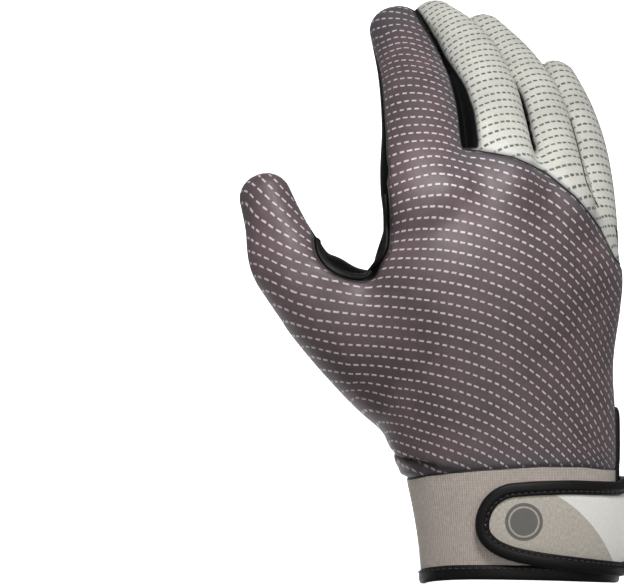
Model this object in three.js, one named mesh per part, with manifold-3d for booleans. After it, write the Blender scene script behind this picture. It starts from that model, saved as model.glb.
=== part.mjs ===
// A right-hand watersports glove in the shape it has when worn, in millimetres.
// The origin is the centre of the wrist opening. +Z runs up the hand, the back of the hand
// faces -Y, the palm faces +Y, and the thumb lies towards -X.
// The hand and its five limbs are lofts through short tables of sections. They are joined into an
// outer form, a smaller copy of it is taken out, and the hollow shell is cut into its sewn panels.
import * as THREE from "three";
import { mergeVertices } from "three/addons/utils/BufferGeometryUtils.js";
import Module from "manifold-3d";

const wasm = await Module();
wasm.setup();

// Driving dimensions
const WALL = 2.0; // thickness of the laminated neoprene panels
const GAP = 0.3; // clear space at every seam between two panels
const TRIM = 0.6; // how far a folded binding stands proud of a panel on each side
const HEM_HEIGHT = 5.6; // height of the binding round the cuff's lower edge
const CUFF_TOP = 41.0; // height of the seam between the cuff and the hand
const SLIT = { top: 60.0, halfWidth: 1.2, binding: 3.4 }; // wrist slit on the little finger's side
const WEB_BINDING = 3.0; // width of the binding round the crotch of the thumb
const WEB = { x: -61, z: 118, width: 30, height: 24 }; // the stretch of seam that it covers
const PATCH = { x: -5.8, z: 22.7, width: 21.6, height: 23.8, thickness: 1.0 };

// The strap runs from rootDepth on the palm's side of the slit, round the little finger's side, to
// a rounded tip on the back. It is narrower by taper from rootX to shoulderX at its lower edge.
const STRAP = {
  thickness: 2.0,
  binding: 5.2,
  top: 36.6,
  bottom: 2.4,
  taper: 3.4,
  rootX: 36,
  shoulderX: 8,
  tipX: -14.2,
  tipZ: 22,
  rootDepth: 13.0,
};

// Cutters and tolerances
const MOUTH = 6.0; // how far the cavity's solid runs on below the hem, to leave it open
const REACH = 120.0; // how far a cutter reaches past the glove
const LIMB_REACH = 24.0; // how far the cutter of one limb reaches from its middle
const MERGE_DISTANCE = 0.001; // corners that lie nearer than this become one
const SPILL = 20.0; // how far a cutter runs on past the first or last row of a table
const FORK_TOP = 160.0; // height below which all the forks between the fingers lie
const REGION_SHIFT = 0.015; // share of a limb's row by which its region moves to leave a gap
const REGION_LAP = { grow: 0.02, shift: 0.001 }; // how far a limb's back laps over the hand's
const SEAM_INSET = 6.0; // how far in from the hand's edge a seam's cut starts to cross the hollow
const SLIT_INSET = 15.0; // how far in from the hand's edge the slit's cutter starts
const TANGENT_STEP = 0.05; // share of a row over which a limb's direction is measured
const TIP_FLAT = 0.35; // share of a ring that the flat at the end of a domed tip takes

// The mesh: sides round a section, steps between two rows of a limb, and rings in a domed tip
const OUTSIDE = { handSides: 40, limbSides: 14, limbSteps: 2, tipRings: 3 };
const INSIDE = { handSides: 24, limbSides: 10, limbSteps: 1, tipRings: 2 };
const HAND_ROUNDNESS = 2.25; // exponent of a superellipse, where 2 is an ellipse
const LIMB_ROUNDNESS = 2.2;

// The hand from the hem to the knuckles. tilt moves the little finger's side back and the
// thumb's side forward, and arch moves both sides back, as a cupped hand does. The seam between
// the back and the palm lies at the depths thumbSeam and littleSeam.
const HAND = [
  { z: 0, x: 1.6, y: 0, halfWidth: 34.8, halfDepth: 24.5, tilt: 2, arch: 0, thumbSeam: 5, littleSeam: 4 },
  { z: 20, x: 0.8, y: 0, halfWidth: 36.2, halfDepth: 25, tilt: 2, arch: 0, thumbSeam: 5, littleSeam: 4 },
  { z: 40, x: -1.6, y: 0, halfWidth: 38.2, halfDepth: 25, tilt: 4, arch: 1, thumbSeam: 6, littleSeam: 7 },
  { z: 46, x: -4.2, y: 0, halfWidth: 41, halfDepth: 25.4, tilt: 4, arch: 1, thumbSeam: 6, littleSeam: 8 },
  { z: 60, x: -6, y: 0, halfWidth: 43, halfDepth: 24, tilt: 6, arch: 3, thumbSeam: 7, littleSeam: 11 },
  { z: 80, x: -6.5, y: 0, halfWidth: 43, halfDepth: 21.5, tilt: 8, arch: 5, thumbSeam: 9, littleSeam: 14 },
  { z: 100, x: -7.2, y: 0, halfWidth: 46.6, halfDepth: 19.5, tilt: 9, arch: 6, thumbSeam: -1, littleSeam: 17 },
  { z: 115, x: -6, y: 1, halfWidth: 46.2, halfDepth: 18, tilt: 10, arch: 6, thumbSeam: -10, littleSeam: 20 },
  { z: 128, x: -7, y: 4, halfWidth: 41.6, halfDepth: 17, tilt: 11, arch: 5, thumbSeam: -9, littleSeam: 23 },
  { z: 140, x: -9, y: 8, halfWidth: 36.2, halfDepth: 15, tilt: 14, arch: 4, thumbSeam: -8, littleSeam: 27 },
  { z: 149, x: -12, y: 10, halfWidth: 27, halfDepth: 12, tilt: 13, arch: 2, thumbSeam: -7, littleSeam: 28 },
  { z: 156, x: -9.5, y: 13, halfWidth: 20, halfDepth: 8, tilt: 10, arch: 1, thumbSeam: -2, littleSeam: 28 },
];

// The seam over the knuckles, from the fork of the first two fingers to the little finger's side
const KNUCKLE_SEAM = [
  { x: -16.7, z: 158 },
  { x: -1, z: 155 },
  { x: 11, z: 150 },
  { x: 22, z: 140.5 },
  { x: 31.5, z: 129.5 },
  { x: 37, z: 118 },
];

// Each limb runs from inside the hand to the centre of its domed tip. back is the azimuth of its
// back in degrees, counted from -Y towards +X. region is the row where the limb parts from the
// hand, and clear is how far its own region reaches past its surface. thumbSeam and littleSeam
// place the seams beside its back panel, as shares of its half depth above its middle.
const LIMBS = {
  index: {
    back: 6,
    tip: 9.0,
    region: 1.3,
    clear: 0.1,
    rows: [
      { x: -27.5, y: 2, z: 112, halfWidth: 12.5, halfDepth: 10.5, thumbSeam: 0.45, littleSeam: 0 },
      { x: -33.6, y: -3, z: 138, halfWidth: 15.4, halfDepth: 12.6, thumbSeam: 0.5, littleSeam: 0 },
      { x: -34.1, y: 18, z: 167, halfWidth: 14.4, halfDepth: 11.6, thumbSeam: 0.35, littleSeam: 0 },
      { x: -37, y: 40, z: 188, halfWidth: 12.7, halfDepth: 10.6, thumbSeam: 0.25, littleSeam: 0 },
      { x: -42.2, y: 56, z: 204.6, halfWidth: 10.4, halfDepth: 9.2, thumbSeam: 0.1, littleSeam: 0 },
    ],
  },
  middle: {
    back: 16,
    tip: 9.5,
    region: 1.5,
    clear: 0.1,
    rows: [
      { x: 0, y: 4, z: 114, halfWidth: 11, halfDepth: 11, thumbSeam: 0.6, littleSeam: -0.1 },
      { x: -4, y: 2, z: 141, halfWidth: 13.2, halfDepth: 12, thumbSeam: 0.65, littleSeam: -0.1 },
      { x: -8, y: 28, z: 170, halfWidth: 13, halfDepth: 11.4, thumbSeam: 0.68, littleSeam: -0.1 },
      { x: -13, y: 48, z: 188, halfWidth: 12.4, halfDepth: 10.8, thumbSeam: 0.66, littleSeam: -0.1 },
      { x: -19.6, y: 60, z: 199.5, halfWidth: 11.2, halfDepth: 9.8, thumbSeam: 0.7, littleSeam: -0.1 },
      { x: -27.5, y: 70, z: 207.8, halfWidth: 9.2, halfDepth: 8.6, thumbSeam: 0.4, littleSeam: -0.1 },
    ],
  },
  ring: {
    back: 27,
    tip: 9.0,
    region: 1.5,
    clear: 0.1,
    rows: [
      { x: 18, y: 10, z: 108, halfWidth: 10, halfDepth: 10.5, thumbSeam: 0.4, littleSeam: -0.1 },
      { x: 18.5, y: 12, z: 136, halfWidth: 11, halfDepth: 11, thumbSeam: 0.4, littleSeam: -0.1 },
      { x: 14, y: 32, z: 158, halfWidth: 10.8, halfDepth: 10.4, thumbSeam: 0.4, littleSeam: -0.1 },
      { x: 9.6, y: 52, z: 177, halfWidth: 10.5, halfDepth: 9.8, thumbSeam: 0.4, littleSeam: -0.1 },
      { x: 2.2, y: 67.5, z: 190.6, halfWidth: 10, halfDepth: 9.2, thumbSeam: 0.3, littleSeam: -0.1 },
      { x: -9, y: 79, z: 203.6, halfWidth: 9, halfDepth: 8.2, thumbSeam: 0.2, littleSeam: -0.1 },
    ],
  },
  little: {
    back: 40,
    tip: 8.5,
    region: 1.4,
    clear: 0.1,
    rows: [
      { x: 28.4, y: 15, z: 96, halfWidth: 9.2, halfDepth: 9, thumbSeam: 0.4, littleSeam: -0.2 },
      { x: 29, y: 22, z: 121, halfWidth: 10.5, halfDepth: 10, thumbSeam: 0.4, littleSeam: -0.2 },
      { x: 28.9, y: 39, z: 142, halfWidth: 9.9, halfDepth: 9.4, thumbSeam: 0.4, littleSeam: -0.3 },
      { x: 27.4, y: 55, z: 159, halfWidth: 9.9, halfDepth: 9, thumbSeam: 0.4, littleSeam: -0.3 },
      { x: 24.2, y: 69.5, z: 173.5, halfWidth: 9.6, halfDepth: 8.4, thumbSeam: 0.3, littleSeam: -0.3 },
      { x: 19.2, y: 82, z: 186.5, halfWidth: 8.6, halfDepth: 7.8, thumbSeam: 0.2, littleSeam: -0.3 },
    ],
  },
  thumb: {
    back: -8,
    tip: 9.0,
    region: 2.6,
    clear: 1.2,
    rows: [
      { x: -18, y: 2, z: 58, halfWidth: 19.4, halfDepth: 16, thumbSeam: -0.4, littleSeam: 0.2 },
      { x: -38.2, y: 1, z: 74, halfWidth: 21.4, halfDepth: 16.5, thumbSeam: -0.4, littleSeam: 0.3 },
      { x: -55.4, y: 0, z: 88.8, halfWidth: 19.6, halfDepth: 15, thumbSeam: -0.45, littleSeam: 0.5 },
      { x: -71, y: 1, z: 103.4, halfWidth: 16.9, halfDepth: 13, thumbSeam: -0.5, littleSeam: 0.6 },
      { x: -78.5, y: 2.2, z: 110.4, halfWidth: 14.2, halfDepth: 12.2, thumbSeam: -0.5, littleSeam: 0.4 },
      { x: -84, y: 4, z: 119, halfWidth: 13.6, halfDepth: 11.5, thumbSeam: -0.5, littleSeam: 0.2 },
      { x: -88, y: 8, z: 131, halfWidth: 10.9, halfDepth: 10, thumbSeam: -0.45, littleSeam: -0.1 },
      { x: -91.2, y: 11, z: 140.4, halfWidth: 9.6, halfDepth: 8.8, thumbSeam: -0.4, littleSeam: -0.2 },
    ],
  },
};

// One column of a table at row t, where t may lie between two rows
function columnAt(rows, column, t) {
  const last = rows.length - 1;
  const i = Math.min(Math.max(Math.floor(t), 0), last - 1);
  const f = t - i;
  const at = (k) => rows[Math.min(Math.max(k, 0), last)][column];
  const [a, b, c, d] = [at(i - 1), at(i), at(i + 1), at(i + 2)];
  const cubic = 3 * b - a - 3 * c + d;
  return 0.5 * (2 * b + (c - a) * f + (2 * a - 5 * b + 4 * c - d) * f * f + cubic * f ** 3);
}

// A point of a superellipse with half sizes 1, at angle phi
function superellipse(phi, roundness) {
  const power = (v) => Math.sign(v) * Math.abs(v) ** (2 / roundness);
  return [power(Math.cos(phi)), power(Math.sin(phi))];
}

// A closed solid from rings of points, where each ring runs clockwise as seen from the last one
function solidFromRings(rings) {
  const sides = rings[0].length;
  const points = rings.flat();
  const triangles = [];
  for (let r = 0; r < rings.length - 1; r++) {
    for (let k = 0; k < sides; k++) {
      const a = r * sides + k;
      const b = r * sides + ((k + 1) % sides);
      triangles.push(a, b + sides, b, a, a + sides, b + sides);
    }
  }
  const centre = (ring) => ring.reduce((sum, p) => sum.add(p), new THREE.Vector3()).divideScalar(sides);
  const start = points.length;
  points.push(centre(rings[0]), centre(rings.at(-1)));
  const lastRing = (rings.length - 1) * sides;
  for (let k = 0; k < sides; k++) {
    const next = (k + 1) % sides;
    triangles.push(start, k, next);
    triangles.push(start + 1, lastRing + next, lastRing + k);
  }
  return solidFromTriangles(points, triangles);
}

function solidFromTriangles(points, triangles) {
  const geometry = new THREE.BufferGeometry();
  const flat = points.flatMap((p) => [p.x, p.y, p.z]);
  geometry.setAttribute("position", new THREE.Float32BufferAttribute(flat, 3));
  geometry.setIndex(triangles);
  return solidFromGeometry(geometry);
}

function solidFromGeometry(geometry) {
  const bare = geometry.clone();
  bare.deleteAttribute("normal");
  bare.deleteAttribute("uv");
  const merged = mergeVertices(bare, MERGE_DISTANCE);
  return new wasm.Manifold(new wasm.Mesh({
    numProp: 3,
    vertProperties: new Float32Array(merged.attributes.position.array),
    triVerts: new Uint32Array(merged.index.array),
  }));
}

// The hand's section at row t, grown outwards by offset. Returns the point at angle phi, where
// 0 is the little finger's side, a quarter turn is the back, and a half turn is the thumb's side.
function handPoint(t, phi, offset) {
  const row = (column) => columnAt(HAND, column, t);
  const [c, s] = superellipse(phi, HAND_ROUNDNESS);
  const x = row("x") + (row("halfWidth") + offset) * c;
  const y = row("y") - (row("halfDepth") + offset) * s + row("tilt") * c + row("arch") * c * c;
  return new THREE.Vector3(x, y, row("z"));
}

function handRowAt(z) {
  const i = HAND.findIndex((row) => row.z > z) - 1;
  return i + (z - HAND[i].z) / (HAND[i + 1].z - HAND[i].z);
}

function handForm(offset, mouth, sides = OUTSIDE.handSides) {
  const rings = HAND.map((row, r) => {
    const ring = [];
    for (let k = 0; k < sides; k++) {
      ring.push(handPoint(r, (2 * Math.PI * k) / sides, offset));
    }
    return ring;
  });
  if (mouth > 0) {
    rings.unshift(rings[0].map((p) => new THREE.Vector3(p.x, p.y, p.z - mouth)));
  }
  return solidFromRings(rings);
}

// The centre of a limb at row t, with its side, back and along directions
function limbFrame(limb, t) {
  const centre = (u) => new THREE.Vector3(...["x", "y", "z"].map((k) => columnAt(limb.rows, k, u)));
  const last = limb.rows.length - 1;
  const ahead = centre(Math.min(t + TANGENT_STEP, last));
  const along = ahead.sub(centre(Math.max(t - TANGENT_STEP, 0))).normalize();
  const azimuth = THREE.MathUtils.degToRad(limb.back);
  const back = new THREE.Vector3(Math.sin(azimuth), -Math.cos(azimuth), 0);
  back.addScaledVector(along, -back.dot(along)).normalize();
  const side = new THREE.Vector3().crossVectors(along, back);
  return { centre: centre(t), side, back, along };
}

// The places along a limb where it has a section: its row, and how far it is out over the tip,
// as an angle from 0 at the last row to a quarter turn at the very tip
function limbStations(limb, from, { limbSteps, tipRings }) {
  const last = limb.rows.length - 1;
  const stations = [{ t: from, out: 0 }];
  for (let r = 0; r <= last * limbSteps; r++) {
    const t = r / limbSteps;
    if (t > from) {
      stations.push({ t, out: 0 });
    }
  }
  for (let r = 1; r <= tipRings; r++) {
    stations.push({ t: last, out: (Math.PI / 2) * (r / (tipRings + TIP_FLAT)) });
  }
  return stations;
}

function limbForm(limb, offset, from = 0, detail = OUTSIDE) {
  const sides = detail.limbSides;
  const rings = limbStations(limb, from, detail).map(({ t, out }) => {
    const { centre, side, back, along } = limbFrame(limb, t);
    const halfWidth = (columnAt(limb.rows, "halfWidth", t) + offset) * Math.cos(out);
    const halfDepth = (columnAt(limb.rows, "halfDepth", t) + offset) * Math.cos(out);
    const base = centre.addScaledVector(along, (limb.tip + offset) * Math.sin(out));
    const ring = [];
    for (let k = 0; k < sides; k++) {
      const [c, s] = superellipse((2 * Math.PI * k) / sides, LIMB_ROUNDNESS);
      ring.push(base.clone().addScaledVector(side, halfWidth * c).addScaledVector(back, halfDepth * s));
    }
    return ring;
  });
  return solidFromRings(rings);
}

function wholeForm(offset, mouth = 0, detail = OUTSIDE) {
  const limbs = Object.values(LIMBS).map((limb) => limbForm(limb, offset, 0, detail));
  return limbs.reduce((sum, limb) => sum.add(limb), handForm(offset, mouth, detail.handSides));
}

// A slab that holds what lies between two heights
function slab(bottom, top) {
  const box = new THREE.BoxGeometry(2 * REACH, 2 * REACH, top - bottom);
  return solidFromGeometry(box.translate(0, 0, (bottom + top) / 2));
}

// An outline in x and z, as a prism from depth front to depth rear
function prism(shape, front, rear) {
  const settings = { depth: rear - front, bevelEnabled: false, curveSegments: 8 };
  const geometry = new THREE.ExtrudeGeometry(shape, settings);
  return solidFromGeometry(geometry.rotateX(Math.PI / 2).translate(0, rear, 0));
}

// What lies on the back's side of the hand's seams, grown by a width past them
function handBackCutter(grow) {
  const below = { ...HAND[0], z: HAND[0].z - SPILL };
  const above = { ...HAND.at(-1), z: HAND.at(-1).z + SPILL };
  const rings = [below, ...HAND, above].map((row) => {
    const littleEdge = row.x + row.halfWidth - SEAM_INSET;
    const thumbEdge = row.x - row.halfWidth + SEAM_INSET;
    return [
      new THREE.Vector3(REACH, row.littleSeam + grow, row.z),
      new THREE.Vector3(REACH, -REACH, row.z),
      new THREE.Vector3(-REACH, -REACH, row.z),
      new THREE.Vector3(-REACH, row.thumbSeam + grow, row.z),
      new THREE.Vector3(thumbEdge, row.thumbSeam + grow, row.z),
      new THREE.Vector3(littleEdge, row.littleSeam + grow, row.z),
    ];
  });
  return solidFromRings(rings);
}

// The same for one limb, from a little before its region to past its tip
function limbBackCutter(limb, grow) {
  const reach = LIMB_REACH;
  const last = limb.rows.length - 1;
  const start = limb.region - 0.3;
  const stations = limbStations(limb, start, OUTSIDE).filter(({ out }) => out === 0);
  stations.push({ t: last, beyond: reach });
  const rings = stations.map(({ t, beyond = 0 }) => {
    const { centre, side, back, along } = limbFrame(limb, t);
    const base = centre.addScaledVector(along, beyond);
    const halfWidth = columnAt(limb.rows, "halfWidth", t);
    const halfDepth = columnAt(limb.rows, "halfDepth", t);
    const littleSeam = columnAt(limb.rows, "littleSeam", t) * halfDepth - grow;
    const thumbSeam = columnAt(limb.rows, "thumbSeam", t) * halfDepth - grow;
    const corners = [
      [reach, littleSeam],
      [reach, reach],
      [-reach, reach],
      [-reach, thumbSeam],
      [-halfWidth / 2, thumbSeam],
      [halfWidth / 2, littleSeam],
    ];
    return corners.map(([u, v]) => base.clone().addScaledVector(side, u).addScaledVector(back, v));
  });
  return solidFromRings(rings);
}

function limbRegion(limb, grow = 0, shift = 0) {
  return limbForm(limb, limb.clear + grow, limb.region + shift);
}

// What lies on the back's side of every seam of the hand and its limbs
function backCutter(grow, regionGrow = 0, regionShift = 0) {
  const { grow: lapGrow, shift: lapShift } = REGION_LAP;
  let cutter = handBackCutter(grow);
  for (const limb of Object.values(LIMBS)) {
    const region = limbRegion(limb, regionGrow, regionShift);
    const lapping = limbRegion(limb, regionGrow + lapGrow, regionShift - lapShift);
    cutter = cutter.subtract(region).add(lapping.intersect(limbBackCutter(limb, grow)));
  }
  return cutter;
}

// The same with clear space round it, also where the regions of the limbs begin
function backSpace(grow) {
  return backCutter(grow, GAP, -REGION_SHIFT).add(backCutter(grow, 0, REGION_SHIFT));
}

// A thin clear space along the walls of the limbs' regions where they pass through the hand
function forkSpace() {
  const walls = Object.values(LIMBS).map((limb) => {
    return limbRegion(limb, GAP / 2).subtract(limbRegion(limb, -GAP / 2, -REGION_SHIFT));
  });
  const all = walls.reduce((sum, wall) => sum.add(wall));
  return all.intersect(handBackCutter(GAP)).intersect(slab(CUFF_TOP, FORK_TOP));
}

// What lies above the seam over the knuckles, grown by a width past it
function knuckleCutter(grow) {
  const shape = new THREE.Shape();
  const first = KNUCKLE_SEAM[0];
  const last = KNUCKLE_SEAM.at(-1);
  shape.moveTo(-REACH, first.z - grow);
  KNUCKLE_SEAM.forEach(({ x, z }) => shape.lineTo(x - grow / 2, z - grow));
  shape.lineTo(REACH, last.z - grow - SPILL);
  shape.lineTo(REACH, 3 * REACH);
  shape.lineTo(-REACH, 3 * REACH);
  return prism(shape, -REACH, REACH);
}

// The slit's space, or with grow the space that its binding takes beside it
function slitCutter(grow) {
  const rings = [];
  const top = handRowAt(SLIT.top + grow);
  const stations = HAND.keys().filter((t) => t < top).toArray().concat(top);
  for (const t of [-1, ...stations]) {
    const row = Math.max(t, 0);
    const z = columnAt(HAND, "z", row) - (t < 0 ? SPILL : 0);
    const middle = columnAt(HAND, "littleSeam", row);
    const near = columnAt(HAND, "x", row) + columnAt(HAND, "halfWidth", row) - SLIT_INSET;
    const half = SLIT.halfWidth + grow;
    rings.push([
      new THREE.Vector3(near, middle + half, z),
      new THREE.Vector3(REACH, middle + half, z),
      new THREE.Vector3(REACH, middle - half, z),
      new THREE.Vector3(near, middle - half, z),
    ]);
  }
  return solidFromRings(rings);
}

// The strap's outline, drawn in by inset. It runs past the little finger's side.
function strapOutline(inset) {
  const { rootX, shoulderX, tipZ, taper } = STRAP;
  const tipX = STRAP.tipX + inset;
  const top = STRAP.top - inset;
  const bottom = STRAP.bottom + inset;
  const bend = 9 - inset / 2; // how far the round tip's curves pull at its end
  const shape = new THREE.Shape();
  shape.moveTo(REACH, bottom);
  shape.lineTo(rootX, bottom);
  shape.lineTo(shoulderX, bottom + taper);
  shape.bezierCurveTo(shoulderX - 14, bottom + 1.6 * taper, tipX, tipZ - bend, tipX, tipZ);
  shape.bezierCurveTo(tipX, tipZ + bend, shoulderX - 16, top, shoulderX - 6, top);
  shape.lineTo(REACH, top);
  return shape;
}

// What lies between two offsets from the hand's surface
function layer(low, high) {
  return handForm(high, 0).subtract(handForm(low, MOUTH));
}

function makeStrap() {
  const rise = TRIM + GAP;
  const depth = STRAP.rootDepth;
  const whole = prism(strapOutline(0), -REACH, depth);
  const face = prism(strapOutline(STRAP.binding + GAP), -REACH, depth);
  const hole = prism(strapOutline(STRAP.binding), -REACH, depth);
  return {
    face: layer(rise, rise + STRAP.thickness).intersect(face),
    binding: layer(rise, rise + STRAP.thickness + TRIM).intersect(whole).subtract(hole),
  };
}

function makePatch() {
  const { x, z, width, height, thickness } = PATCH;
  const box = new THREE.BoxGeometry(width, REACH, height).translate(x, REACH / 2, z);
  return layer(GAP, GAP + thickness).intersect(solidFromGeometry(box));
}

function webBox(grow) {
  const box = new THREE.BoxGeometry(WEB.width + 2 * grow, REACH, WEB.height + 2 * grow);
  return solidFromGeometry(box.translate(WEB.x, 0, WEB.z));
}

function makeNodes() {
  const outer = wholeForm(0);
  const inner = wholeForm(-WALL, MOUTH, INSIDE);
  const shell = outer.subtract(inner);
  const slitSpace = slitCutter(SLIT.binding + GAP);
  const hand = shell.intersect(slab(CUFF_TOP + GAP / 2, 2 * REACH)).subtract(slitSpace);
  const back = hand.intersect(backCutter(0));
  const webSpace = backSpace(GAP + WEB_BINDING + GAP).intersect(webBox(GAP));
  const palm = hand.subtract(backSpace(GAP)).subtract(webSpace).subtract(forkSpace());
  const web = wholeForm(TRIM).subtract(inner).intersect(webBox(0))
    .intersect(backCutter(GAP + WEB_BINDING).subtract(backSpace(GAP)));
  const index = limbRegion(LIMBS.index);
  const fingerPanel = back.subtract(limbRegion(LIMBS.index, GAP)).intersect(knuckleCutter(0));
  const backPanel = back.subtract(knuckleCutter(GAP).subtract(index));
  const cuff = shell.intersect(slab(HEM_HEIGHT + GAP, CUFF_TOP - GAP / 2)).subtract(slitSpace);
  const lining = handForm(-WALL - TRIM, MOUTH, INSIDE.handSides);
  const trim = handForm(TRIM, 0).subtract(lining);
  const hem = trim.intersect(slab(0, HEM_HEIGHT)).subtract(slitCutter(0));
  const slitBinding = wholeForm(TRIM).subtract(lining)
    .intersect(slitCutter(SLIT.binding).subtract(slitCutter(0)))
    .intersect(slab(HEM_HEIGHT + GAP, REACH));
  const strap = makeStrap();
  return {
    back_panel: [backPanel, 0x6e6064, 0.8],
    finger_panel: [fingerPanel, 0xd6d8cc, 0.8],
    palm_panel: [palm, 0x18181a, 0.75],
    thumb_web_binding: [web, 0x1c1c1e, 0.7],
    cuff: [cuff, 0xa8a094, 0.9],
    hem_binding: [hem, 0x161618, 0.7],
    slit_binding: [slitBinding, 0x161618, 0.7],
    strap_face: [strap.face, 0xbebcac, 0.8],
    strap_binding: [strap.binding, 0x161618, 0.7],
    cuff_patch: [makePatch(), 0x141416, 0.7],
  };
}

// The largest body of a solid, without the slivers that a cut can leave
function mainBody(solid) {
  const bodies = solid.decompose();
  return bodies.reduce((most, body) => (body.volume() > most.volume() ? body : most));
}

function geometryFromSolid(solid) {
  const { vertProperties, triVerts } = solid.getMesh();
  const geometry = new THREE.BufferGeometry();
  geometry.setAttribute("position", new THREE.Float32BufferAttribute(vertProperties, 3));
  geometry.setIndex(Array.from(triVerts));
  return geometry;
}

// The solid is merged once more before its slivers are dropped, so that none comes loose later.
function meshFromSolid(name, solid, color, roughness) {
  const merged = solidFromGeometry(geometryFromSolid(mainBody(solid)));
  const geometry = geometryFromSolid(mainBody(merged));
  geometry.computeVertexNormals();
  const material = new THREE.MeshStandardMaterial({ color, roughness, metalness: 0 });
  const mesh = new THREE.Mesh(geometry, material);
  mesh.name = name;
  return mesh;
}

const glove = new THREE.Group();
for (const [name, [solid, color, roughness]] of Object.entries(makeNodes())) {
  glove.add(meshFromSolid(name, solid, color, roughness));
}
export default glove;
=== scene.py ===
import math

import bpy
import numpy as np
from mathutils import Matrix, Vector
from mathutils.bvhtree import BVHTree


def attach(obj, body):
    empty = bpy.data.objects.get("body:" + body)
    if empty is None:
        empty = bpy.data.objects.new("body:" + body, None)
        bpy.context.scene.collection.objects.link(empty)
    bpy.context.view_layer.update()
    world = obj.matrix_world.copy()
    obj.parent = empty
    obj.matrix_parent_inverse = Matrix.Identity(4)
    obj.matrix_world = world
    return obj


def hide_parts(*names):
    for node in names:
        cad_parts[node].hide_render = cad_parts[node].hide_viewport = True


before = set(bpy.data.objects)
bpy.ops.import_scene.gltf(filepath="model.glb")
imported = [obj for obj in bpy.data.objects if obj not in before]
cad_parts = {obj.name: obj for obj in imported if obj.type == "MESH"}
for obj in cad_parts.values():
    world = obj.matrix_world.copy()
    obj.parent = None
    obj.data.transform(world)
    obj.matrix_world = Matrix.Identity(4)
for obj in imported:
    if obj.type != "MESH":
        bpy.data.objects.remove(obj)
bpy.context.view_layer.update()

# Sizes are in millimetres and turn into metres where a mesh is made. Z is up along the hand, the
# back of the hand faces -Y, and the thumb points to -X.
MM = 0.001

# Main sizes
WALL = 2.0  # thickness of the cloth
HEM_HEIGHT = 5.4
HEM_RISE = 2.7  # how far the hem hangs higher in the middle of the back
SLIT_TOP = 60.0
SLIT_HALF_WIDTH = 1.2
SLIT_INSET = 15.0  # how far in from the hand's edge the slit's cut starts
HAND_ROUNDNESS = 2.25  # exponent of a superellipse, where 2 is an ellipse
LIMB_ROUNDNESS = 2.2
STRAP_RISE = 0.9  # how far the strap's underside stands off the hand
STRAP_BINDING = 5.2  # width of the binding round the strap
STRAP_STITCHES = 4.0  # from the strap's edge to its line of stitches
STRAP_ROOT_DEPTH = 13.0  # how far round the wrist's side the strap starts
PATCH_STITCHES = 2.0  # from the patch's edge to its line of stitches
SEAM_INSET = 6.0  # how far in from the hand's edge a seam's depth starts to change
TANGENT_STEP = 0.05  # share of a row over which a direction is measured
FINGER_JOINTS = (27.0, 50.0)  # how far back from the tip the ribbed bands lie
THUMB_JOINTS = (30.0,)
PATCH = {"x": -5.8, "z": 22.7, "width": 21.6, "height": 23.8}

# The printed rows: distance from row to row, and from dash to dash along a row
ROW_SPACING = 3.9
DASH_PITCH = 2.85
FINGER_ROW_SPACING = 4.15
FINGER_DASH_PITCH = 2.5
ROW_SKEW = 0.34  # how much the rows of the finger panel climb towards the little finger at its root
ROW_CROWDING = 2.4e-5  # how they draw together towards the fingers' tips

# The width of a cell of the palm's honeycomb print
HEXAGON = 2.3

# The surface is meshed a little inside its place, so that neighbouring fingers stay apart
MESH_PITCH = 0.8
PALM_SHARE = 0.75  # of the palm's triangles that stay, where all that go are on its inner side
MESH_INSET = 0.6
SCRAP = 400  # a loose part of a mesh with fewer faces than this is a scrap

# The grooves at the seams, which also get painted shade, and how far beside an edge the print is cooler
# with a painted sheen and shade
SEAM_WIDTH = 1.6
SEAM_DEPTH = 0.45
EDGE_WIDTH = 9.0

# The photograph's own scale: a camera far in front, aimed at the middle of the picture
CAMERA_DISTANCE = 1500.0
PICTURE_CENTRE = (-74.18, 105.45)
PICTURE_WIDTH = 226.9
SENSOR_WIDTH = 36.0
EYE = (PICTURE_CENTRE[0], -CAMERA_DISTANCE, PICTURE_CENTRE[1])


def table(names, rows):
    """A table's columns by name, as arrays."""
    return dict(zip(names.split(), np.array(rows, float).T))


# Sections of the hand, from the wrist to the knuckles. tilt and arch shape the back in depth, and
# the seams are the depths where the back panel ends on the thumb's and the little finger's side.
HAND = table("z x y half_width half_depth tilt arch thumb_seam little_seam", [
    (0.0, 1.6, 0, 34.8, 24.5, 2, 0, 5, 4),
    (20.0, 0.8, 0, 36.2, 25.0, 2, 0, 5, 4),
    (40.0, -1.6, 0, 38.2, 25.0, 4, 1, 6, 7),
    (46.0, -4.2, 0, 41.0, 25.4, 4, 1, 6, 8),
    (60.0, -6.0, 0, 43.0, 24.0, 6, 3, 7, 11),
    (80.0, -6.5, 0, 43.0, 21.5, 8, 5, 9, 14),
    (100.0, -7.2, 0, 46.6, 19.5, 9, 6, -1, 17),
    (115.0, -6.0, 1, 46.2, 18.0, 10, 6, -10, 20),
    (128.0, -7.0, 4, 41.6, 17.0, 11, 5, -9, 23),
    (140.0, -9.0, 8, 36.2, 15.0, 14, 4, -8, 27),
    (149.0, -12.0, 10, 27.0, 12.0, 13, 2, -7, 28),
    (156.0, -9.5, 13, 20.0, 8.0, 10, 1, -2, 28),
])

# The seam over the knuckles, between the back panel and the finger panel
KNUCKLE_SEAM = table("x z", [
    (-16.7, 158.0),
    (-1.0, 155.0),
    (11.0, 150.0),
    (22.0, 140.5),
    (31.5, 129.5),
    (37.0, 118.0),
    (60.0, 100.0),
])

# The seam between the hand and the cuff
CUFF_SEAM = table("x z", [
    (-42.0, 38.0),
    (-38.0, 38.2),
    (-33.0, 39.6),
    (-18.0, 41.5),
    (-3.0, 42.6),
    (8.0, 43.2),
    (24.0, 42.8),
    (36.0, 41.0),
])

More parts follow.
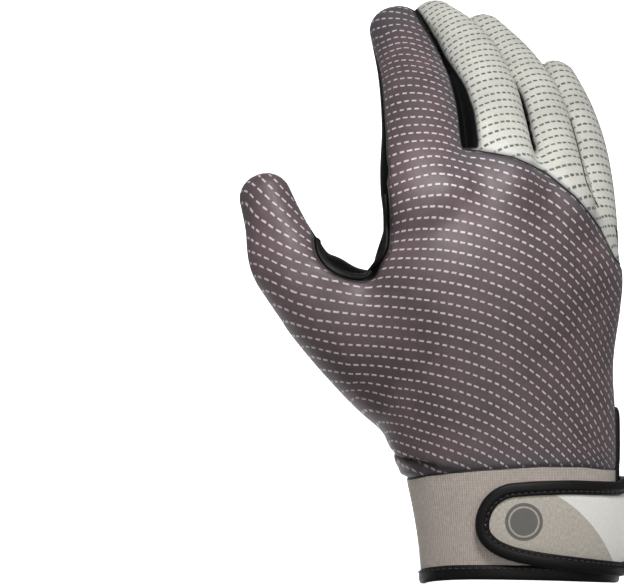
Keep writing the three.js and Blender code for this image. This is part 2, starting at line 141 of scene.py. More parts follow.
# The strap's outline as the camera sees it, from its root along the top, round the tip and back
STRAP_EDGE = table("x z", [
    (36.0, 38.4),
    (34.2, 36.7),
    (27.6, 36.8),
    (19.6, 37.1),
    (11.6, 37.0),
    (3.6, 36.7),
    (-3.6, 35.9),
    (-8.4, 33.6),
    (-12.0, 29.8),
    (-14.0, 24.8),
    (-14.3, 20.0),
    (-13.1, 16.0),
    (-10.2, 12.4),
    (-5.8, 9.6),
    (1.1, 7.3),
    (9.1, 5.8),
    (19.6, 4.4),
    (27.6, 3.4),
    (34.5, 2.6),
])

# The web between the thumb and the first finger, as a rounded lump that fills the crotch
WEB = {"place": (-57.5, 1.0, 104.0), "half": (13.0, 8.5, 10.0)}

# The edge of the back panel round that web, from the thumb to the first finger's side, as seen from
# the front. What it encloses belongs to the palm.
WEB_SEAM = table("x z", [
    (-73.6, 132.0),
    (-73.5, 126.5),
    (-72.9, 120.4),
    (-70.2, 115.6),
    (-66.2, 112.3),
    (-61.8, 110.6),
    (-57.5, 109.9),
    (-53.6, 110.6),
    (-51.2, 113.8),
    (-48.2, 117.8),
    (-46.3, 122.5),
    (-46.1, 131.0),
    (-46.6, 141.0),
    (-47.4, 147.0),
])

# The bulges over the knuckles: a place on the back, how far it reaches to each side, and its rise
KNUCKLES = table("x z reach_x reach_z rise", [
    (-22.8, 144.5, 7.5, 9.0, 1.8),
    (-17.4, 144.0, 5.5, 9.0, 1.7),
    (9.5, 148.5, 11.0, 6.5, 1.1),
    (26.0, 133.0, 7.0, 7.0, 0.7),
    (-80.0, 128.0, 7.0, 8.0, 0.5),
])

# A form that joins the first two fingers behind the crease between them
FORK_CORD = table("x y z radius", [
    (-18.2, 6.0, 153.0, 3.6),
    (-19.4, 16.5, 163.0, 3.6),
    (-20.9, 27.0, 174.0, 3.6),
    (-22.8, 38.0, 184.5, 3.1),
])

# Where the black sides of the first two fingers end on the back: below z, between left and right,
# and as far in as depth, which is less further down
FORK_SEAM = {"z": 158.4, "left": -30.0, "right": -6.0, "depth": 22.0, "slope": 0.9}

# The fold over the cuff on the thumb's side, as a line in x and z. The cloth rises above the line and
# falls back below it, is tucked in where it faces away from the front, and is full at one height.
# Each fades out over its own distance.
FOLD = {
    "left": (-46.0, 47.8),
    "right": (-20.0, 41.8),
    "rise": 1.5,
    "rise_fade": 5.0,
    "fall": 1.8,
    "fall_fade": 1.3,
    "tuck": 1.2,
    "tuck_fade": 1.8,
    "full": 1.9,
    "full_height": 41.6,
    "full_fade": 2.6,
}

# The closed seam between the last two fingers, as the camera sees it
FINGER_SEAM = table("x z", [
    (19.6, 168.6),
    (22.2, 159.5),
    (24.2, 151.3),
    (26.0, 144.5),
    (29.6, 137.5),
])

# The strap's print: the arc of the pale wedge and the plain round mark, as the camera sees them
WEDGE_CENTRE = (-8.2, -8.5)
WEDGE_RADIUS = 46.4
MARK_CENTRE = (2.9, 22.2)
MARK_RADIUS = 6.9

# Sections of the fingers and the thumb, from the root to the tip. back is the azimuth in degrees that
# the back of the finger faces, tip is how far its dome reaches past the last section, and region is
# the row from which its own seams hold. The seams are shares of its half depth.
LIMB_COLUMNS = "x y z half_width half_depth thumb_seam little_seam"
LIMBS = {
    "index": {"back": 6, "tip": 9.0, "region": 1.3, "rows": table(LIMB_COLUMNS, [
        (-27.5, 2, 112, 12.5, 10.5, 0.55, 0.0),
        (-33.0, -3, 138, 16.1, 12.6, 0.56, -0.5),
        (-33.8, 18, 167, 14.8, 11.6, 0.31, -0.12),
        (-37.0, 40, 188, 12.7, 10.6, 0.25, 0.5),
        (-42.2, 56, 204.6, 10.4, 9.2, -0.10, 0.7),
    ])},
    "middle": {"back": 16, "tip": 9.5, "region": 1.2, "rows": table(LIMB_COLUMNS, [
        (0.0, 4, 114, 11.0, 11.0, 0.6, -0.1),
        (-4.0, 2, 141, 13.2, 12.0, 0.58, -0.1),
        (-8.0, 28, 170, 13.0, 11.4, 0.64, -0.1),
        (-13.0, 48, 188, 12.4, 10.8, 0.51, -0.1),
        (-19.6, 60, 199.5, 11.2, 9.8, 0.7, -0.1),
        (-27.5, 70, 207.8, 9.2, 8.6, 0.92, -0.1),
    ])},
    "ring": {"back": 27, "tip": 9.0, "region": 1.5, "rows": table(LIMB_COLUMNS, [
        (18.0, 10, 108, 10.0, 10.5, 0.4, -0.1),
        (18.5, 12, 136, 11.0, 11.0, 0.4, -0.1),
        (14.0, 32, 158, 10.8, 10.4, 0.4, -0.1),
        (9.6, 52, 177, 10.5, 9.8, 0.4, -0.1),
        (2.2, 67.5, 190.6, 10.0, 9.2, 0.3, -0.1),
        (-9.0, 79, 203.6, 9.0, 8.2, 0.2, -0.1),
    ])},
    "little": {"back": 40, "tip": 8.5, "region": 1.4, "rows": table(LIMB_COLUMNS, [
        (28.4, 15, 96, 9.2, 9.0, 0.4, -0.2),
        (29.0, 22, 121, 10.5, 10.0, 0.4, -0.2),
        (28.9, 39, 142, 9.9, 9.4, 0.4, -0.3),
        (27.4, 55, 159, 9.9, 9.0, 0.4, -0.3),
        (24.2, 69.5, 173.5, 9.6, 8.4, 0.3, -0.3),
        (19.2, 82, 186.5, 8.6, 7.8, 0.2, -0.3),
    ])},
    "thumb": {"back": -8, "tip": 9.0, "region": 2.6, "rows": table(LIMB_COLUMNS, [
        (-18.0, 2, 58, 19.4, 16.0, -0.4, 0.2),
        (-38.2, 1, 74, 21.4, 16.5, -0.4, 0.3),
        (-55.4, 0, 88.8, 19.6, 15.0, -0.45, 0.5),
        (-71.0, 1, 103.4, 16.9, 13.0, -0.5, 0.6),
        (-78.5, 2.2, 110.4, 14.2, 12.2, -0.5, 0.4),
        (-84.0, 4, 119, 13.6, 11.5, -0.5, 0.2),
        (-88.0, 8, 131, 10.9, 10.0, -0.45, -0.1),
        (-91.2, 11, 140.4, 9.6, 8.8, -0.4, -0.2),
    ])},
}

# Printed rows of the back panel: each row's number, counted from the first finger's tip, and
# places along it as the camera sees them at the distance of the picture's plane (x, z). Most of
# these places are the output of a program that measured the picture, and weren't chosen by hand.
PRINTED_ROWS = [
    (1, (-48.6, 198.7), (-43.4, 201.1), (-34.7, 199.0)),
    (4, (-47.5, 192.4), (-39.9, 194.7), (-31.3, 191.9)),
    (8, (-47.6, 183.6), (-39.0, 186.3), (-32.6, 185.2)),
    (12, (-46.4, 173.1), (-34.9, 175.5), (-25.3, 172.9)),
    (15, (-46.2, 164.4), (-35.0, 166.7), (-24.6, 165.1)),
    (19, (-44.6, 151.6), (-29.7, 155.3), (-15.0, 152.2), (-0.3, 147.8), (13.8, 142.3),
     (24.7, 131.6), (33.8, 119.4)),
    (21, (-45.1, 144.2), (-29.8, 148.9), (-14.2, 145.6), (1.1, 140.5), (15.2, 132.9),
     (26.5, 121.3), (34.7, 107.5)),
    (23, (-45.2, 136.9), (-29.9, 141.0), (-14.2, 138.1), (0.9, 132.8), (14.7, 124.8),
     (25.9, 113.4), (34.2, 99.7)),
    (25, (-89.1, 148.0), (-84.6, 143.2), (-79.7, 137.7)),
    (26, (-93.7, 148.3), (-90.9, 145.5), (-85.6, 140.4), (-78.5, 133.3)),
    (25, (-43.0, 131.1), (-27.7, 132.8), (-12.5, 129.8), (2.0, 124.3), (15.1, 116.2),
     (25.8, 105.0), (33.5, 91.6)),
    (27, (-97.8, 146.5), (-94.5, 143.9), (-88.4, 138.4), (-82.5, 133.7), (-75.8, 127.6)),
    (28, (-98.4, 142.5), (-94.7, 139.1), (-89.0, 134.5), (-82.3, 129.5), (-74.7, 124.0)),
    (29, (-98.4, 138.3), (-96.7, 136.2), (-94.6, 133.5), (-89.2, 129.8), (-81.2, 125.1),
     (-75.3, 121.8)),
    (27, (-43.5, 124.2), (-28.2, 125.0), (-13.0, 122.1), (1.5, 116.6), (14.7, 108.5),
     (25.1, 97.2), (32.5, 83.6)),
    (29, (-46.5, 117.7), (-32.3, 117.8), (-18.2, 115.7), (-4.6, 111.4), (8.1, 105.0),
     (19.2, 96.1), (27.5, 84.5)),
    (30, (-97.2, 130.6), (-93.4, 127.6), (-85.5, 123.3), (-73.5, 118.0)),
    (31, (-97.9, 125.7), (-94.6, 123.6), (-86.7, 119.8), (-80.9, 117.3)),
    (32, (-98.2, 121.1), (-82.0, 114.1), (-64.8, 109.6), (-49.8, 107.9), (-34.1, 106.7),
     (-18.6, 104.1), (-3.7, 99.0), (10.0, 91.0), (21.3, 80.1), (29.9, 66.9)),
    (34, (-94.0, 111.5), (-80.3, 105.6), (-65.6, 102.5), (-50.7, 100.7), (-35.8, 99.4),
     (-21.0, 96.9), (-6.8, 92.3), (6.3, 85.0), (17.6, 75.2), (26.2, 63.0), (32.7, 49.5)),
    (36, (-87.7, 101.2), (-73.7, 95.6), (-58.5, 94.0), (-43.3, 92.8), (-28.2, 90.7),
     (-13.4, 86.9), (0.4, 80.6), (12.6, 71.4), (22.9, 60.2)),
    (38, (-79.9, 89.7), (-64.7, 86.8), (-49.3, 86.0), (-33.9, 84.2), (-18.8, 80.7),
     (-4.3, 75.2), (8.5, 66.5), (19.6, 55.7), (29.3, 43.6)),
    (40, (-74.9, 82.3), (-59.8, 79.3), (-44.2, 78.2), (-28.9, 75.6), (-14.0, 71.2),
     (0.0, 64.4), (12.5, 55.1), (23.3, 43.9)),
    (42, (-60.8, 72.6), (-44.6, 71.0), (-28.7, 68.2), (-13.3, 63.1), (1.0, 55.6), (13.9, 45.7)),
    (44, (-57.6, 67.5), (-45.4, 64.2), (-31.8, 61.6), (-18.7, 57.5), (-6.1, 51.9), (5.6, 44.6)),
    (46, (-49.2, 58.6), (-34.4, 55.3), (-20.0, 50.5), (-6.2, 44.2)),
    (48, (-44.2, 51.6), (-31.9, 47.6), (-19.8, 43.0)),
    (49, (-44.6, 48.4), (-40.3, 46.7), (-33.5, 43.0), (-28.6, 40.6)),
    (50, (-42.9, 44.9), (-41.5, 42.9), (-37.6, 41.1), (-34.9, 40.0)),
]


# Curves and sections


def between(a, b, c, d, f):
    """A smooth curve's place at share f of the way from b to c, where a and d are their neighbours."""
    return 0.5 * (2 * b + (c - a) * f + (2 * a - 5 * b + 4 * c - d) * f**2
                  + (3 * b - a - 3 * c + d) * f**3)


def run_along(line):
    """How far each point of a line is from its start, along it."""
    return np.concatenate([[0], np.cumsum(np.linalg.norm(np.diff(line, axis=0), axis=1))])


def at_stops(stops, run, values):
    """Values given along a line, at other distances along it."""
    return np.stack([np.interp(stops, run, values[:, k]) for k in range(values.shape[1])], 1)


def column(rows, name, t):
    """One column of a table at row t, where t may lie between two rows."""
    values = rows[name]
    last = len(values) - 1
    t = np.asarray(t, float)
    i = np.clip(np.floor(t).astype(int), 0, last - 1)
    return between(*(values[np.clip(i + k, 0, last)] for k in (-1, 0, 1, 2)), t - i)


def half_sizes(limb, t):
    """A limb's half width and half depth at row t."""
    return [column(limb["rows"], name, t) for name in ("half_width", "half_depth")]


HAND_LAST = len(HAND["z"]) - 1
HAND_STEPS = np.linspace(0, HAND_LAST, 40 * HAND_LAST + 1)
HAND_HEIGHTS = np.maximum.accumulate(column(HAND, "z", HAND_STEPS))


def hand_row(z):
    """The hand's row number at height z."""
    return np.interp(z, HAND_HEIGHTS, HAND_STEPS)


def superellipse(phi, roundness):
    """A point of a superellipse with half sizes 1, at angle phi."""
    return [np.sign(v) * np.abs(v) ** (2 / roundness) for v in (np.cos(phi), np.sin(phi))]


def hand_point(t, phi, offset=0.0):
    """A point of the hand's section at row t, grown outwards by offset. Angle phi is 0 on the little
    finger's side, a quarter turn on the back and a half turn on the thumb's side."""
    t, phi, offset = np.broadcast_arrays(*(np.asarray(v, float) for v in (t, phi, offset)))
    row = {name: column(HAND, name, t) for name in HAND}
    c, s = superellipse(phi, HAND_ROUNDNESS)
    x = row["x"] + (row["half_width"] + offset) * c
    y = row["y"] - (row["half_depth"] + offset) * s + row["tilt"] * c + row["arch"] * c * c
    return np.stack([x, y, row["z"]], -1)


def hand_reach(points):
    """How far each point is out from the hand's middle, where 1 is the surface."""
    t = hand_row(points[:, 2])
    row = {name: column(HAND, name, t) for name in HAND}
    c = (points[:, 0] - row["x"]) / row["half_width"]
    held = np.clip(c, -1, 1)
    s = (points[:, 1] - row["y"] - row["tilt"] * held - row["arch"] * held**2) / row["half_depth"]
    n = HAND_ROUNDNESS
    return (np.abs(c) ** n + np.abs(s) ** n) ** (1 / n), row


def limb_frame(limb, t):
    """The centre of a limb at row t, with its side, back and along directions."""
    rows = limb["rows"]
    last = len(rows["x"]) - 1

    def centre(u):
        return np.stack([column(rows, k, u) for k in "xyz"], -1)

    along = centre(np.minimum(t + TANGENT_STEP, last)) - centre(np.maximum(t - TANGENT_STEP, 0))
    along /= np.linalg.norm(along, axis=-1, keepdims=True)
    azimuth = math.radians(limb["back"])
    back = np.array([math.sin(azimuth), -math.cos(azimuth), 0.0])
    back = back - along * (along @ back)[..., None]
    back /= np.linalg.norm(back, axis=-1, keepdims=True)
    return centre(t), np.cross(along, back), back, along


for limb in LIMBS.values():
    limb["last"] = len(limb["rows"]["x"]) - 1
    limb["t"] = np.linspace(0, limb["last"], 40 * limb["last"] + 1)
    limb["centre"], limb["side"], limb["back_way"], limb["along"] = limb_frame(limb, limb["t"])
    limb["length"] = run_along(limb["centre"])


def limb_place(limb, points):
    """Where points lie in a limb's own terms: its row, its length back from its tip,
    the offsets to its side and its back, and how far out they are, where 1 is the surface."""
    nearest = np.empty(len(points), int)
    for start in range(0, len(points), 4000):
        part = points[start:start + 4000]
        gaps = ((part[:, None, :] - limb["centre"][None]) ** 2).sum(2)
        nearest[start:start + 4000] = gaps.argmin(1)
    away = points - limb["centre"][nearest]
    ahead = (away * limb["along"][nearest]).sum(1)
    length = limb["length"][nearest] + ahead
    t = np.interp(length, limb["length"], limb["t"])
    side = (away * limb["side"][nearest]).sum(1)
    back = (away * limb["back_way"][nearest]).sum(1)
    half_width, half_depth = half_sizes(limb, t)
    past = np.maximum(length - limb["length"][-1], 0) / limb["tip"]
    n = LIMB_ROUNDNESS
    around = (np.abs(side / half_width) ** n + np.abs(back / half_depth) ** n) ** (1 / n)
    return {
        "t": t,
        "from_tip": limb["length"][-1] + limb["tip"] - length,
        "side": side,
        "back": back,
        "half_width": half_width,
        "half_depth": half_depth,
        "reach": np.sqrt(around**2 + past**2),
    }


def smooth_step(low, high, value):
    f = np.clip((value - low) / (high - low), 0, 1)
    return f * f * (3 - 2 * f)


# Closed forms, joined into one surface


def loft(rings):
    """Points and faces of a closed form through rings of equally many points."""
    count, sides = rings.shape[:2]
    points = list(rings.reshape(-1, 3)) + [rings[0].mean(0), rings[-1].mean(0)]
    faces = grid_faces(count, sides, closed=True)
    for k in range(sides):
        after = (k + 1) % sides
        faces.append((count * sides, after, k))
        faces.append((count * sides + 1, (count - 1) * sides + k, (count - 1) * sides + after))
    return points, faces


def hand_loft(offset):
    """The hand as a form from inside the cuff to past the knuckles."""
    t = np.linspace(hand_row(22.0), HAND_LAST, 70)
    phi = np.linspace(0, 2 * np.pi, 120, endpoint=False)
    return loft(hand_point(t[:, None], phi[None, :], offset))


def limb_loft(limb, offset):
    """A limb as a tube of sections with a domed tip."""
    body = np.linspace(0, limb["last"], 14 * limb["last"] + 1)
    dome = np.linspace(0, np.pi / 2, 12)[1:-1]
    t = np.concatenate([body, np.full(len(dome), float(limb["last"]))])
    out = np.concatenate([np.zeros(len(body)), dome])
    centre, side, back, along = limb_frame(limb, t)
    half_width, half_depth = ((half + offset) * np.cos(out) for half in half_sizes(limb, t))
    base = centre + along * ((limb["tip"] + offset) * np.sin(out))[:, None]
    c, s = superellipse(np.linspace(0, 2 * np.pi, 56, endpoint=False), LIMB_ROUNDNESS)
    return loft(base[:, None] + side[:, None] * (half_width[:, None] * c)[..., None]
                + back[:, None] * (half_depth[:, None] * s)[..., None])


def fork_loft():
    """A cord of round sections behind the crease between the first two fingers."""
    around = np.linspace(0, 2 * np.pi, 24, endpoint=False)
    t = np.linspace(0, len(FORK_CORD["x"]) - 1, 40)
    place = [column(FORK_CORD, name, t)[:, None] for name in "xyz"]
    radius = column(FORK_CORD, "radius", t)[:, None]
    rings = np.stack([place[0] + radius * np.cos(around), place[1] + radius * np.sin(around),
                      place[2] + 0 * around], -1)
    return loft(rings)


def web_loft():
    """The rounded lump that fills the crotch of the thumb."""
    around = np.linspace(0, 2 * np.pi, 40, endpoint=False)
    rings = []
    for a in np.linspace(-np.pi / 2, np.pi / 2, 22)[1:-1]:
        ring = np.stack([np.cos(around) * np.cos(a), np.sin(around) * np.cos(a),
                         np.full(40, np.sin(a))], 1)
        rings.append(np.array(WEB["place"]) + ring * WEB["half"])
    return loft(np.array(rings))


def joined_surface():
    """One even mesh round the hand and its limbs, as points and triangles."""
    points, faces = [], []
    forms = [hand_loft(-MESH_INSET), web_loft(), fork_loft()]
    forms += [limb_loft(limb, -MESH_INSET) for limb in LIMBS.values()]
    for made in forms:
        first = len(points)
        points += made[0]
        faces += [tuple(first + k for k in face) for face in made[1]]
    mesh = bpy.data.meshes.new("forms")
    mesh.from_pydata([tuple(p) for p in points], [], faces)
    held = bpy.data.objects.new("forms", mesh)
    bpy.context.scene.collection.objects.link(held)
    remesh = held.modifiers.new("remesh", "REMESH")
    remesh.mode = "VOXEL"
    remesh.voxel_size = MESH_PITCH
    made = held.evaluated_get(bpy.context.evaluated_depsgraph_get()).to_mesh()
    found = np.empty(len(made.vertices) * 3, np.float32)
    made.vertices.foreach_get("co", found)
    found = found.reshape(-1, 3).astype(float)
    made.calc_loop_triangles()
    triangles = np.empty(len(made.loop_triangles) * 3, np.int32)
    made.loop_triangles.foreach_get("vertices", triangles)
    triangles = triangles.reshape(-1, 3).astype(int)
    bpy.data.objects.remove(held)
    return found, triangles


# Work on triangle meshes


def sides_of(faces):
    """The sides of triangles, each as a pair of point numbers in the triangle's own direction."""
    return np.concatenate([faces[:, [0, 1]], faces[:, [1, 2]], faces[:, [2, 0]]])


def edges_of(faces):
    return np.unique(np.sort(sides_of(faces), axis=1), axis=0)


def relaxed(points, edges, weight, rounds, share=0.5):
    """Points drawn towards the mean of their neighbours, each by its own weight."""
    points = points.copy()
    count = len(points)
    a, b = edges.T
    degree = np.bincount(a, minlength=count) + np.bincount(b, minlength=count)
    weight = (np.broadcast_to(weight, count) * share)[:, None]
    for _ in range(rounds):
        total = np.stack([np.bincount(a, points[b, k], count) + np.bincount(b, points[a, k], count)
                          for k in range(3)], 1)
        points += weight * (total / degree[:, None] - points)
    return points


def normals_of(points, faces):
    corner = points[faces]
    across = np.cross(corner[:, 1] - corner[:, 0], corner[:, 2] - corner[:, 0])
    total = np.stack([np.bincount(faces.ravel(), np.repeat(across[:, k], 3), len(points))
                      for k in range(3)], 1)
    return total / np.maximum(np.linalg.norm(total, axis=1, keepdims=True), 1e-12)


def cut(points, faces, field):
    """Splits triangles where a field of the points changes sign. Returns the points, the faces and
    whether each face is on the positive side."""
    value = field(points)
    least = 0.12 * MESH_PITCH
    value = np.where(np.abs(value) < least, np.where(value < 0, -least, least), value)
    up = value[faces] > 0
    count = up.sum(1)
    crossed = (count == 1) | (count == 2)
    sub, sub_up, sub_count = faces[crossed], up[crossed], count[crossed]
    alone = np.where(sub_count == 1, sub_up.argmax(1), sub_up.argmin(1))
    turn = (alone[:, None] + np.arange(3)) % 3
    a, b, c = np.take_along_axis(sub, turn, 1).T
    pairs = np.sort(np.concatenate([np.stack([a, b], 1), np.stack([a, c], 1)]), axis=1)
    pairs, which = np.unique(pairs, axis=0, return_inverse=True)
    which = which.ravel() + len(points)
    v0, v1 = value[pairs[:, 0]], value[pairs[:, 1]]
    share = (v0 / (v0 - v1))[:, None]
    added = points[pairs[:, 0]] * (1 - share) + points[pairs[:, 1]] * share
    ab, ac = which[:len(a)], which[len(a):]
    near_up = sub_count == 1
    made = np.concatenate([faces[~crossed], np.stack([a, ab, ac], 1), np.stack([ab, b, c], 1),
                           np.stack([ab, c, ac], 1)])
    side = np.concatenate([count[~crossed] == 3, near_up, ~near_up, ~near_up])
    return np.concatenate([points, added]), made, side


def compact(points, faces):
    """Only the points that the faces use."""
    used, index = np.unique(faces, return_inverse=True)
    return points[used], index.reshape(-1, 3)


def part_sizes(count, faces):
    """For each face, how many faces hang together with it."""
    label = np.arange(count)
    while True:
        low = label[faces].min(1)
        after = label.copy()
        np.minimum.at(after, faces.ravel(), np.repeat(low, 3))
        after = after[after]
        if (after == label).all():
            break
        label = after
    owner = label[faces[:, 0]]
    return np.bincount(owner, minlength=count)[owner]


def settled(points, faces, side):
    """The sides of a cut, where small islands go over to the other side."""
    side = side.copy()
    for value in (True, False):
        here = np.flatnonzero(side == value)
        small = part_sizes(len(points), faces[here]) < SCRAP
        side[here[small]] = not value
    return side


def main_part(points, faces):
    """The mesh without loose scraps."""
    return compact(points, faces[part_sizes(len(points), faces) >= SCRAP])


def border_of(faces):
    """The directed edges that only one face has."""
    directed = sides_of(faces)
    key = directed[:, 0] * (faces.max() + 1) + directed[:, 1]
    twin = directed[:, 1] * (faces.max() + 1) + directed[:, 0]
    return directed[~np.isin(key, twin)]


def loops_of(faces):
    """The closed chains of point numbers round a mesh's borders."""
    after = {int(a): int(b) for a, b in border_of(faces)}
    loops = []
    while after:
        start = next(iter(after))
        chain = [start]
        while chain[-1] in after:
            chain.append(after.pop(chain[-1]))
        loops.append(chain[:-1])
    return loops


# Pieces


def finished(name, points, faces, material, replaces=(), uv=None, marks=None, angle=50):
    """A mesh object of the glove, which rides on the one body. uv and marks are given per point."""
    mesh = bpy.data.meshes.new(name)
    mesh.from_pydata((points * MM).tolist(), [], [tuple(int(k) for k in f) for f in faces])
    mesh.validate()
    corner = np.empty(len(mesh.loops), np.int32)
    mesh.loops.foreach_get("vertex_index", corner)
    if uv is not None:
        layer = mesh.uv_layers.new(name="rows")
        layer.data.foreach_set("uv", uv[corner].astype(np.float32).ravel())
    for key, values in (marks or {}).items():
        held = mesh.attributes.new(key, "FLOAT", "POINT")
        held.data.foreach_set("value", values.astype(np.float32))
    mesh.shade_smooth()
    mesh.set_sharp_from_angle(angle=math.radians(angle))
    piece = bpy.data.objects.new(name, mesh)
    bpy.context.scene.collection.objects.link(piece)
    mesh.materials.append(material)
    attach(piece, "root")
    if replaces:
        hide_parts(*replaces)
    return piece


def shell(points, faces, thickness):
    """A closed wall from an outer surface: the surface, its inner side and the rim."""
    count = len(points)
    inner = points - normals_of(points, faces) * thickness
    rim = border_of(faces)
    a, b = rim.T
    sides = np.concatenate([np.stack([b, a, a + count], 1), np.stack([b, a + count, b + count], 1)])
    return np.concatenate([points, inner]), np.concatenate([faces, faces[:, ::-1] + count, sides])


def grid_faces(rows, columns, closed=False, first=0):
    """Quads over a grid of points, which may close on itself along its columns."""
    faces = []
    for r in range(rows - 1):
        for k in range(columns if closed else columns - 1):
            a = first + r * columns + k
            b = first + r * columns + (k + 1) % columns
            faces.append((a, b, b + columns, a + columns))
    return faces


def grid_triangles(points, way, rows, columns, closed=False):
    """Triangles over a grid of points, turned so that they face the way given for each point."""
    quads = np.array(grid_faces(rows, columns, closed))
    faces = np.concatenate([quads[:, [0, 1, 2]], quads[:, [0, 2, 3]]])
    return faces[:, ::-1] if (normals_of(points, faces) * way).sum() < 0 else faces


def smooth_line(places, step):
    """Points at even steps along a smooth line through the places."""
    last = len(places) - 1
    t = np.linspace(0, last, 40 * last + 1)
    i = np.clip(np.floor(t).astype(int), 0, last - 1)
    line = between(*(places[np.clip(i + k, 0, last)] for k in (-1, 0, 1, 2)), (t - i)[:, None])
    run = run_along(line)
    return at_stops(np.linspace(0, run[-1], max(int(run[-1] / step), 2) + 1), run, line)


def seam_line(seam, step):
    """A smooth line in x and z through the rows of a table."""
    return smooth_line(np.stack([seam["x"], seam["z"]], 1), step)


def softened(line, rounds):
    """A line with each inner point drawn towards its neighbours, that many times."""
    line = line.copy()
    for _ in range(rounds):
        line[1:-1] = (line[:-2] + line[1:-1] * 2 + line[2:]) / 4
    return line


def unit(vectors):
    return vectors / np.maximum(np.linalg.norm(vectors, axis=-1, keepdims=True), 1e-12)


def swept(path, up, profile, closed=False):
    """Points, faces and a map of a profile carried along a path. The profile's first number runs
    across the path, to the right of its way as seen from above, and its second one along up."""
    if closed:
        way = np.roll(path, -1, 0) - np.roll(path, 1, 0)
    else:
        way = np.gradient(path, axis=0)
    across = unit(np.cross(unit(way), up))
    profile = np.asarray(profile, float)
    rings = (path[:, None] + across[:, None] * profile[None, :, :1]
             + up[:, None] * profile[None, :, 1:])
    count, sides = rings.shape[:2]
    points = rings.reshape(-1, 3)
    if closed:
        wrapped = np.array(grid_faces(count + 1, sides, closed=True)) % len(points)
        faces = [tuple(face) for face in wrapped.tolist()]
    else:
        faces = grid_faces(count, sides, closed=True)
        faces.append(tuple(range(sides))[::-1])
        faces.append(tuple((count - 1) * sides + k for k in range(sides)))
    around = np.cumsum(np.linalg.norm(profile - np.roll(profile, 1, 0), axis=1))
    uv = np.stack([np.repeat(run_along(path), sides), np.tile(around, count)], 1)
    return points, faces, uv


def rounded(width, low, high, crown=0.35, ditch=None):
    """A flat band's profile, from 0 to width across and from low to high, with soft edges. A sewn
    band has a ditch along its stitches, at the given place across."""
    half, middle = width / 2, (low + high) / 2
    rise = (high - low) / 2
    profile = []
    for a in np.linspace(0, 2 * np.pi, 48, endpoint=False):
        c, s = superellipse(a, 3.0)
        lift = crown * (1 - c * c) if s > 0 else 0.0
        if ditch is not None and s > 0:
            lift -= 0.5 * math.exp(-(((half + half * c) - ditch) / 0.4) ** 2)
        profile.append((half + half * c, middle + rise * s + lift))
    return np.array(profile)[::-1]


def mirrored(profile, side):
    """A profile that runs to the path's other side where side is below 0."""
    profile = profile * np.array([side, 1.0])
    return profile[::-1] if side < 0 else profile


def stitches(path, up, across, sink, length, pitch, radius):
    """Points and faces of a line of short stitches beside a path, each a small bent capsule."""
    way = unit(np.gradient(path, axis=0))
    aside = unit(np.cross(way, up))
    line = path + aside * across
    run = run_along(line)
    points, faces = [], []
    for middle in np.arange(pitch, run[-1] - pitch / 2, pitch):
        stops = middle + np.linspace(-0.5, 0.5, 6) * length
        centre = at_stops(stops, run, line)
        rise = unit(at_stops(stops, run, up))
        arch = np.sin(np.linspace(0, np.pi, 6))
        centre = centre + rise * (sink + arch[:, None] * radius * 1.1)
        thick = radius * np.array([0.5, 0.9, 1.0, 1.0, 0.9, 0.5])
        first = len(points)
        ahead = unit(np.gradient(centre, axis=0))
        side = unit(np.cross(ahead, rise))
        over = np.cross(side, ahead)
        for k in range(6):
            for a in np.linspace(0, 2 * np.pi, 8, endpoint=False):
                points.append(centre[k] + (side[k] * math.cos(a) + over[k] * math.sin(a)) * thick[k])
        faces += grid_faces(6, 8, True, first)
        faces.append(tuple(first + k for k in range(8)))
        faces.append(tuple(first + 40 + k for k in range(8))[::-1])
    return np.array(points), faces


def hand_spot(phi, z, offset=0.0):
    """A place on the hand's own form and the way out of it."""
    t = hand_row(z)
    here = hand_point(t, phi, offset)
    by_phi = hand_point(t, phi + 0.01, offset) - hand_point(t, phi - 0.01, offset)
    after, before = np.minimum(t + TANGENT_STEP, HAND_LAST), np.maximum(t - TANGENT_STEP, 0)
    by_t = hand_point(after, phi, offset) - hand_point(before, phi, offset)
    out = unit(np.cross(by_phi, by_t))
    middle = np.stack([column(HAND, "x", t), column(HAND, "y", t), np.zeros_like(t)], -1)
    away = here - middle
    away[..., 2] = 0
    flip = np.sign((out * away).sum(-1, keepdims=True))
    return here, out * flip


def phi_at_x(x, z):
    """The angle on the back where the hand's section at height z is at x."""
    t = hand_row(z)
    c = np.clip((x - column(HAND, "x", t)) / column(HAND, "half_width", t), -0.999, 0.999)
    return np.arccos(np.sign(c) * np.abs(c) ** (HAND_ROUNDNESS / 2))


def phi_at_y(y, z):
    """The angle on the little finger's side where the hand's section at height z is at depth y."""
    phi = np.linspace(-1.4, 1.4, 561)
    out = []
    for one_y, one_z in zip(*np.broadcast_arrays(np.atleast_1d(y), np.atleast_1d(z))):
        depth = hand_point(hand_row(one_z), phi)[:, 1]
        out.append(np.interp(-one_y, -depth, phi))
    return np.array(out)


def about_centre(x, z, share):
    """A place moved towards the picture's centre, or away from it, to that share of its distance."""
    return (PICTURE_CENTRE[0] + (x - PICTURE_CENTRE[0]) * share,
            PICTURE_CENTRE[1] + (z - PICTURE_CENTRE[1]) * share)


def picture_to_hand(x, z, lift):
    """Angle and height on the hand of a place seen at x, z in the picture's plane."""
    depth = np.full(len(x), -25.0)
    for _ in range(4):
        true_x, true_z = about_centre(x, z, (CAMERA_DISTANCE + depth) / CAMERA_DISTANCE)
        phi = phi_at_x(true_x, true_z)
        depth = hand_point(hand_row(true_z), phi, lift)[:, 1]
    return phi, true_z


# Fields of the hand's surface


